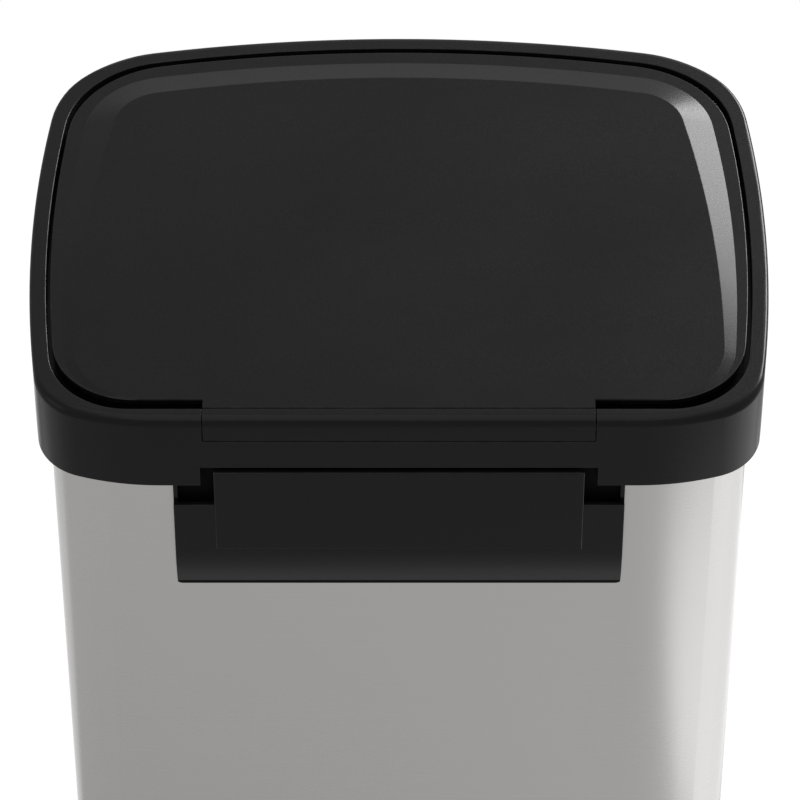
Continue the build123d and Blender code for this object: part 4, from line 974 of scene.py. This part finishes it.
class BIN_OT_buckets(bpy.types.Operator):
    """Round the edges of the two buckets"""

    bl_idname = "bin.buckets"
    bl_label = "Buckets"

    def execute(self, context):
        soft_copy("bucket_left", 0.0006, "bin", "grey_bucket")
        soft_copy("bucket_right", 0.0006, "bin", "blue_bucket")
        return {"FINISHED"}


class BIN_OT_stage(bpy.types.Operator):
    """Lay the floor, set the lamps and place the camera behind the bin"""

    bl_idname = "bin.stage"
    bl_label = "Stage"

    def execute(self, context):
        scene = context.scene
        scene.view_settings.view_transform = "Standard"
        world = bpy.data.worlds.new("studio")
        scene.world = world
        world.use_nodes = True
        nodes, links = world.node_tree.nodes, world.node_tree.links
        nodes.clear()
        lit_by_world = 0.3
        strength = add_range(world.node_tree, seen_rays(world.node_tree), 0, 1, lit_by_world, 1.0)
        back = nodes.new("ShaderNodeBackground")
        back.inputs["Color"].default_value = (1, 1, 1, 1)
        links.new(strength, back.inputs["Strength"])
        links.new(back.outputs[0], nodes.new("ShaderNodeOutputWorld").inputs["Surface"])

        bm = bmesh.new()
        bmesh.ops.create_grid(bm, x_segments=1, y_segments=1, size=PAPER_HALF)
        floor = new_piece("studio_floor", bm)
        material, tree, shader = open_material("studio_paper")
        shader.inputs["Roughness"].default_value = 0.7
        shader.inputs["Specular IOR Level"].default_value = 0.1
        place = object_place(tree)
        tone = mix_colour(tree, add_noise(tree, place, 3.0), scene.bin_colours.floor,
                          darker(scene.bin_colours.floor, 0.015))
        tree.links.new(tone, shader.inputs["Base Color"])
        glow = tree.nodes.new("ShaderNodeEmission")
        mix = tree.nodes.new("ShaderNodeMixShader")
        reach = tree.nodes.new("ShaderNodeVectorMath")
        reach.operation = "LENGTH"
        tree.links.new(place, reach.inputs[0])
        # The paper glows white, but less near the bin, where its shadow shows, and not under it.
        near, far, near_glow = 0.3, 0.9, 0.78
        under_x, under_y = 0.175, 0.135
        glowing = add_range(tree, reach.outputs["Value"], near, far, near_glow, 1.0)
        split = tree.nodes.new("ShaderNodeSeparateXYZ")
        tree.links.new(place, split.inputs["Vector"])
        across, along = [add_math(tree, "DIVIDE", add_math(tree, "ABSOLUTE", split.outputs[axis]), half)
                         for axis, half in (("X", under_x), ("Y", under_y))]
        covered = add_math(tree, "MAXIMUM", across, along)
        glowing = add_math(tree, "MULTIPLY", glowing, add_range(tree, covered, 0.9, 1.0))
        tree.links.new(add_math(tree, "MULTIPLY", seen_rays(tree), glowing), mix.inputs["Fac"])
        tree.links.new(shader.outputs[0], mix.inputs[1])
        tree.links.new(glow.outputs[0], mix.inputs[2])
        tree.links.new(mix.outputs[0], tree.nodes["Material Output"].inputs["Surface"])
        floor.data.materials.append(material)

        towards_key = Vector((-sin(KEY_TURN) * cos(KEY_RISE), -cos(KEY_TURN) * cos(KEY_RISE), sin(KEY_RISE)))
        for name, place, target, width, height, power in (
                ("key_softbox", KEY_TARGET + towards_key * KEY_DISTANCE, KEY_TARGET, 1.80, 1.36, 205.0),
                ("right_card", (-0.68, 0.15, 0.01), (-0.68, 0.15, 1.0), 0.75, 1.0, 3.0),
                ("left_card", (0.50, -0.30, 0.01), (0.50, -0.30, 1.0), 0.5, 0.6, 0.5),
                ("left_softbox", (2.4, 0.9, 1.5), (0, 0, 0.45), 1.4, 1.4, 6.0),
                ("top_softbox", (0, 0.7, 2.7), (0, 0.7001, 0), 2.0, 2.9, 25.0)):
            lamp = bpy.data.lights.new(name, "AREA")
            lamp.shape = "RECTANGLE"
            lamp.size, lamp.size_y, lamp.energy = width, height, power
            stand = bpy.data.objects.new(name, lamp)
            scene.collection.objects.link(stand)
            stand.visible_camera = False
            aim = (Vector(target) - Vector(place)).to_track_quat("-Z", "Y").to_matrix().to_4x4()
            stand.matrix_world = Matrix.Translation(place) @ aim

        lens = bpy.data.cameras.new("camera")
        lens.sensor_width = SENSOR_MM
        lens.lens = LENS_MM
        camera = bpy.data.objects.new("camera", lens)
        scene.collection.objects.link(camera)
        scene.camera = camera
        ahead = Vector((0, -cos(CAMERA_TILT), -sin(CAMERA_TILT)))
        up = Vector((0, -sin(CAMERA_TILT), cos(CAMERA_TILT)))
        stand = Vector((CAMERA_SIDEWAYS, REAR, TOP)) - ahead * CAMERA_DISTANCE + up * CAMERA_RAISED
        camera.matrix_world = Matrix(((-1, up.x, -ahead.x, stand.x), (0, up.y, -ahead.y, stand.y),
                                      (0, up.z, -ahead.z, stand.z), (0, 0, 0, 1)))
        return {"FINISHED"}


class BIN_PT_builder(bpy.types.Panel):
    """Lists the bin's operators and sizes"""

    bl_idname = "BIN_PT_builder"
    bl_label = "Recycling bin"
    bl_space_type = "VIEW_3D"
    bl_region_type = "UI"
    bl_category = "Recycling bin"

    def draw(self, context):
        for operator in OPERATORS:
            self.layout.operator(operator.bl_idname)
        for name in SETTINGS:
            group = getattr(context.scene, name)
            box = self.layout.box()
            for key in group.bl_rna.properties.keys():
                if key not in ("rna_type", "name"):
                    box.prop(group, key)


SETTINGS = {"bin_plan": BinPlan, "bin_collar": CollarSizes, "bin_lid": LidSizes, "bin_hinge": HingeSizes,
            "bin_cover": CoverSizes, "bin_colours": BinColours}
OPERATORS = (BIN_OT_finishes, BIN_OT_collar, BIN_OT_lid, BIN_OT_hinge, BIN_OT_cover, BIN_OT_base, BIN_OT_pedal,
             BIN_OT_buckets, BIN_OT_stage)


def register():
    for group in SETTINGS.values():
        bpy.utils.register_class(group)
    for operator in OPERATORS:
        bpy.utils.register_class(operator)
    bpy.utils.register_class(BIN_PT_builder)
    for name, group in SETTINGS.items():
        setattr(bpy.types.Scene, name, PointerProperty(type=group))


def unregister():
    for name in SETTINGS:
        delattr(bpy.types.Scene, name)
    bpy.utils.unregister_class(BIN_PT_builder)
    for operator in reversed(OPERATORS):
        bpy.utils.unregister_class(operator)
    for group in SETTINGS.values():
        bpy.utils.unregister_class(group)


def main():
    register()
    for operator in OPERATORS:
        package, action = operator.bl_idname.split(".")
        getattr(getattr(bpy.ops, package), action)()


if __name__ == "__main__":
    main()
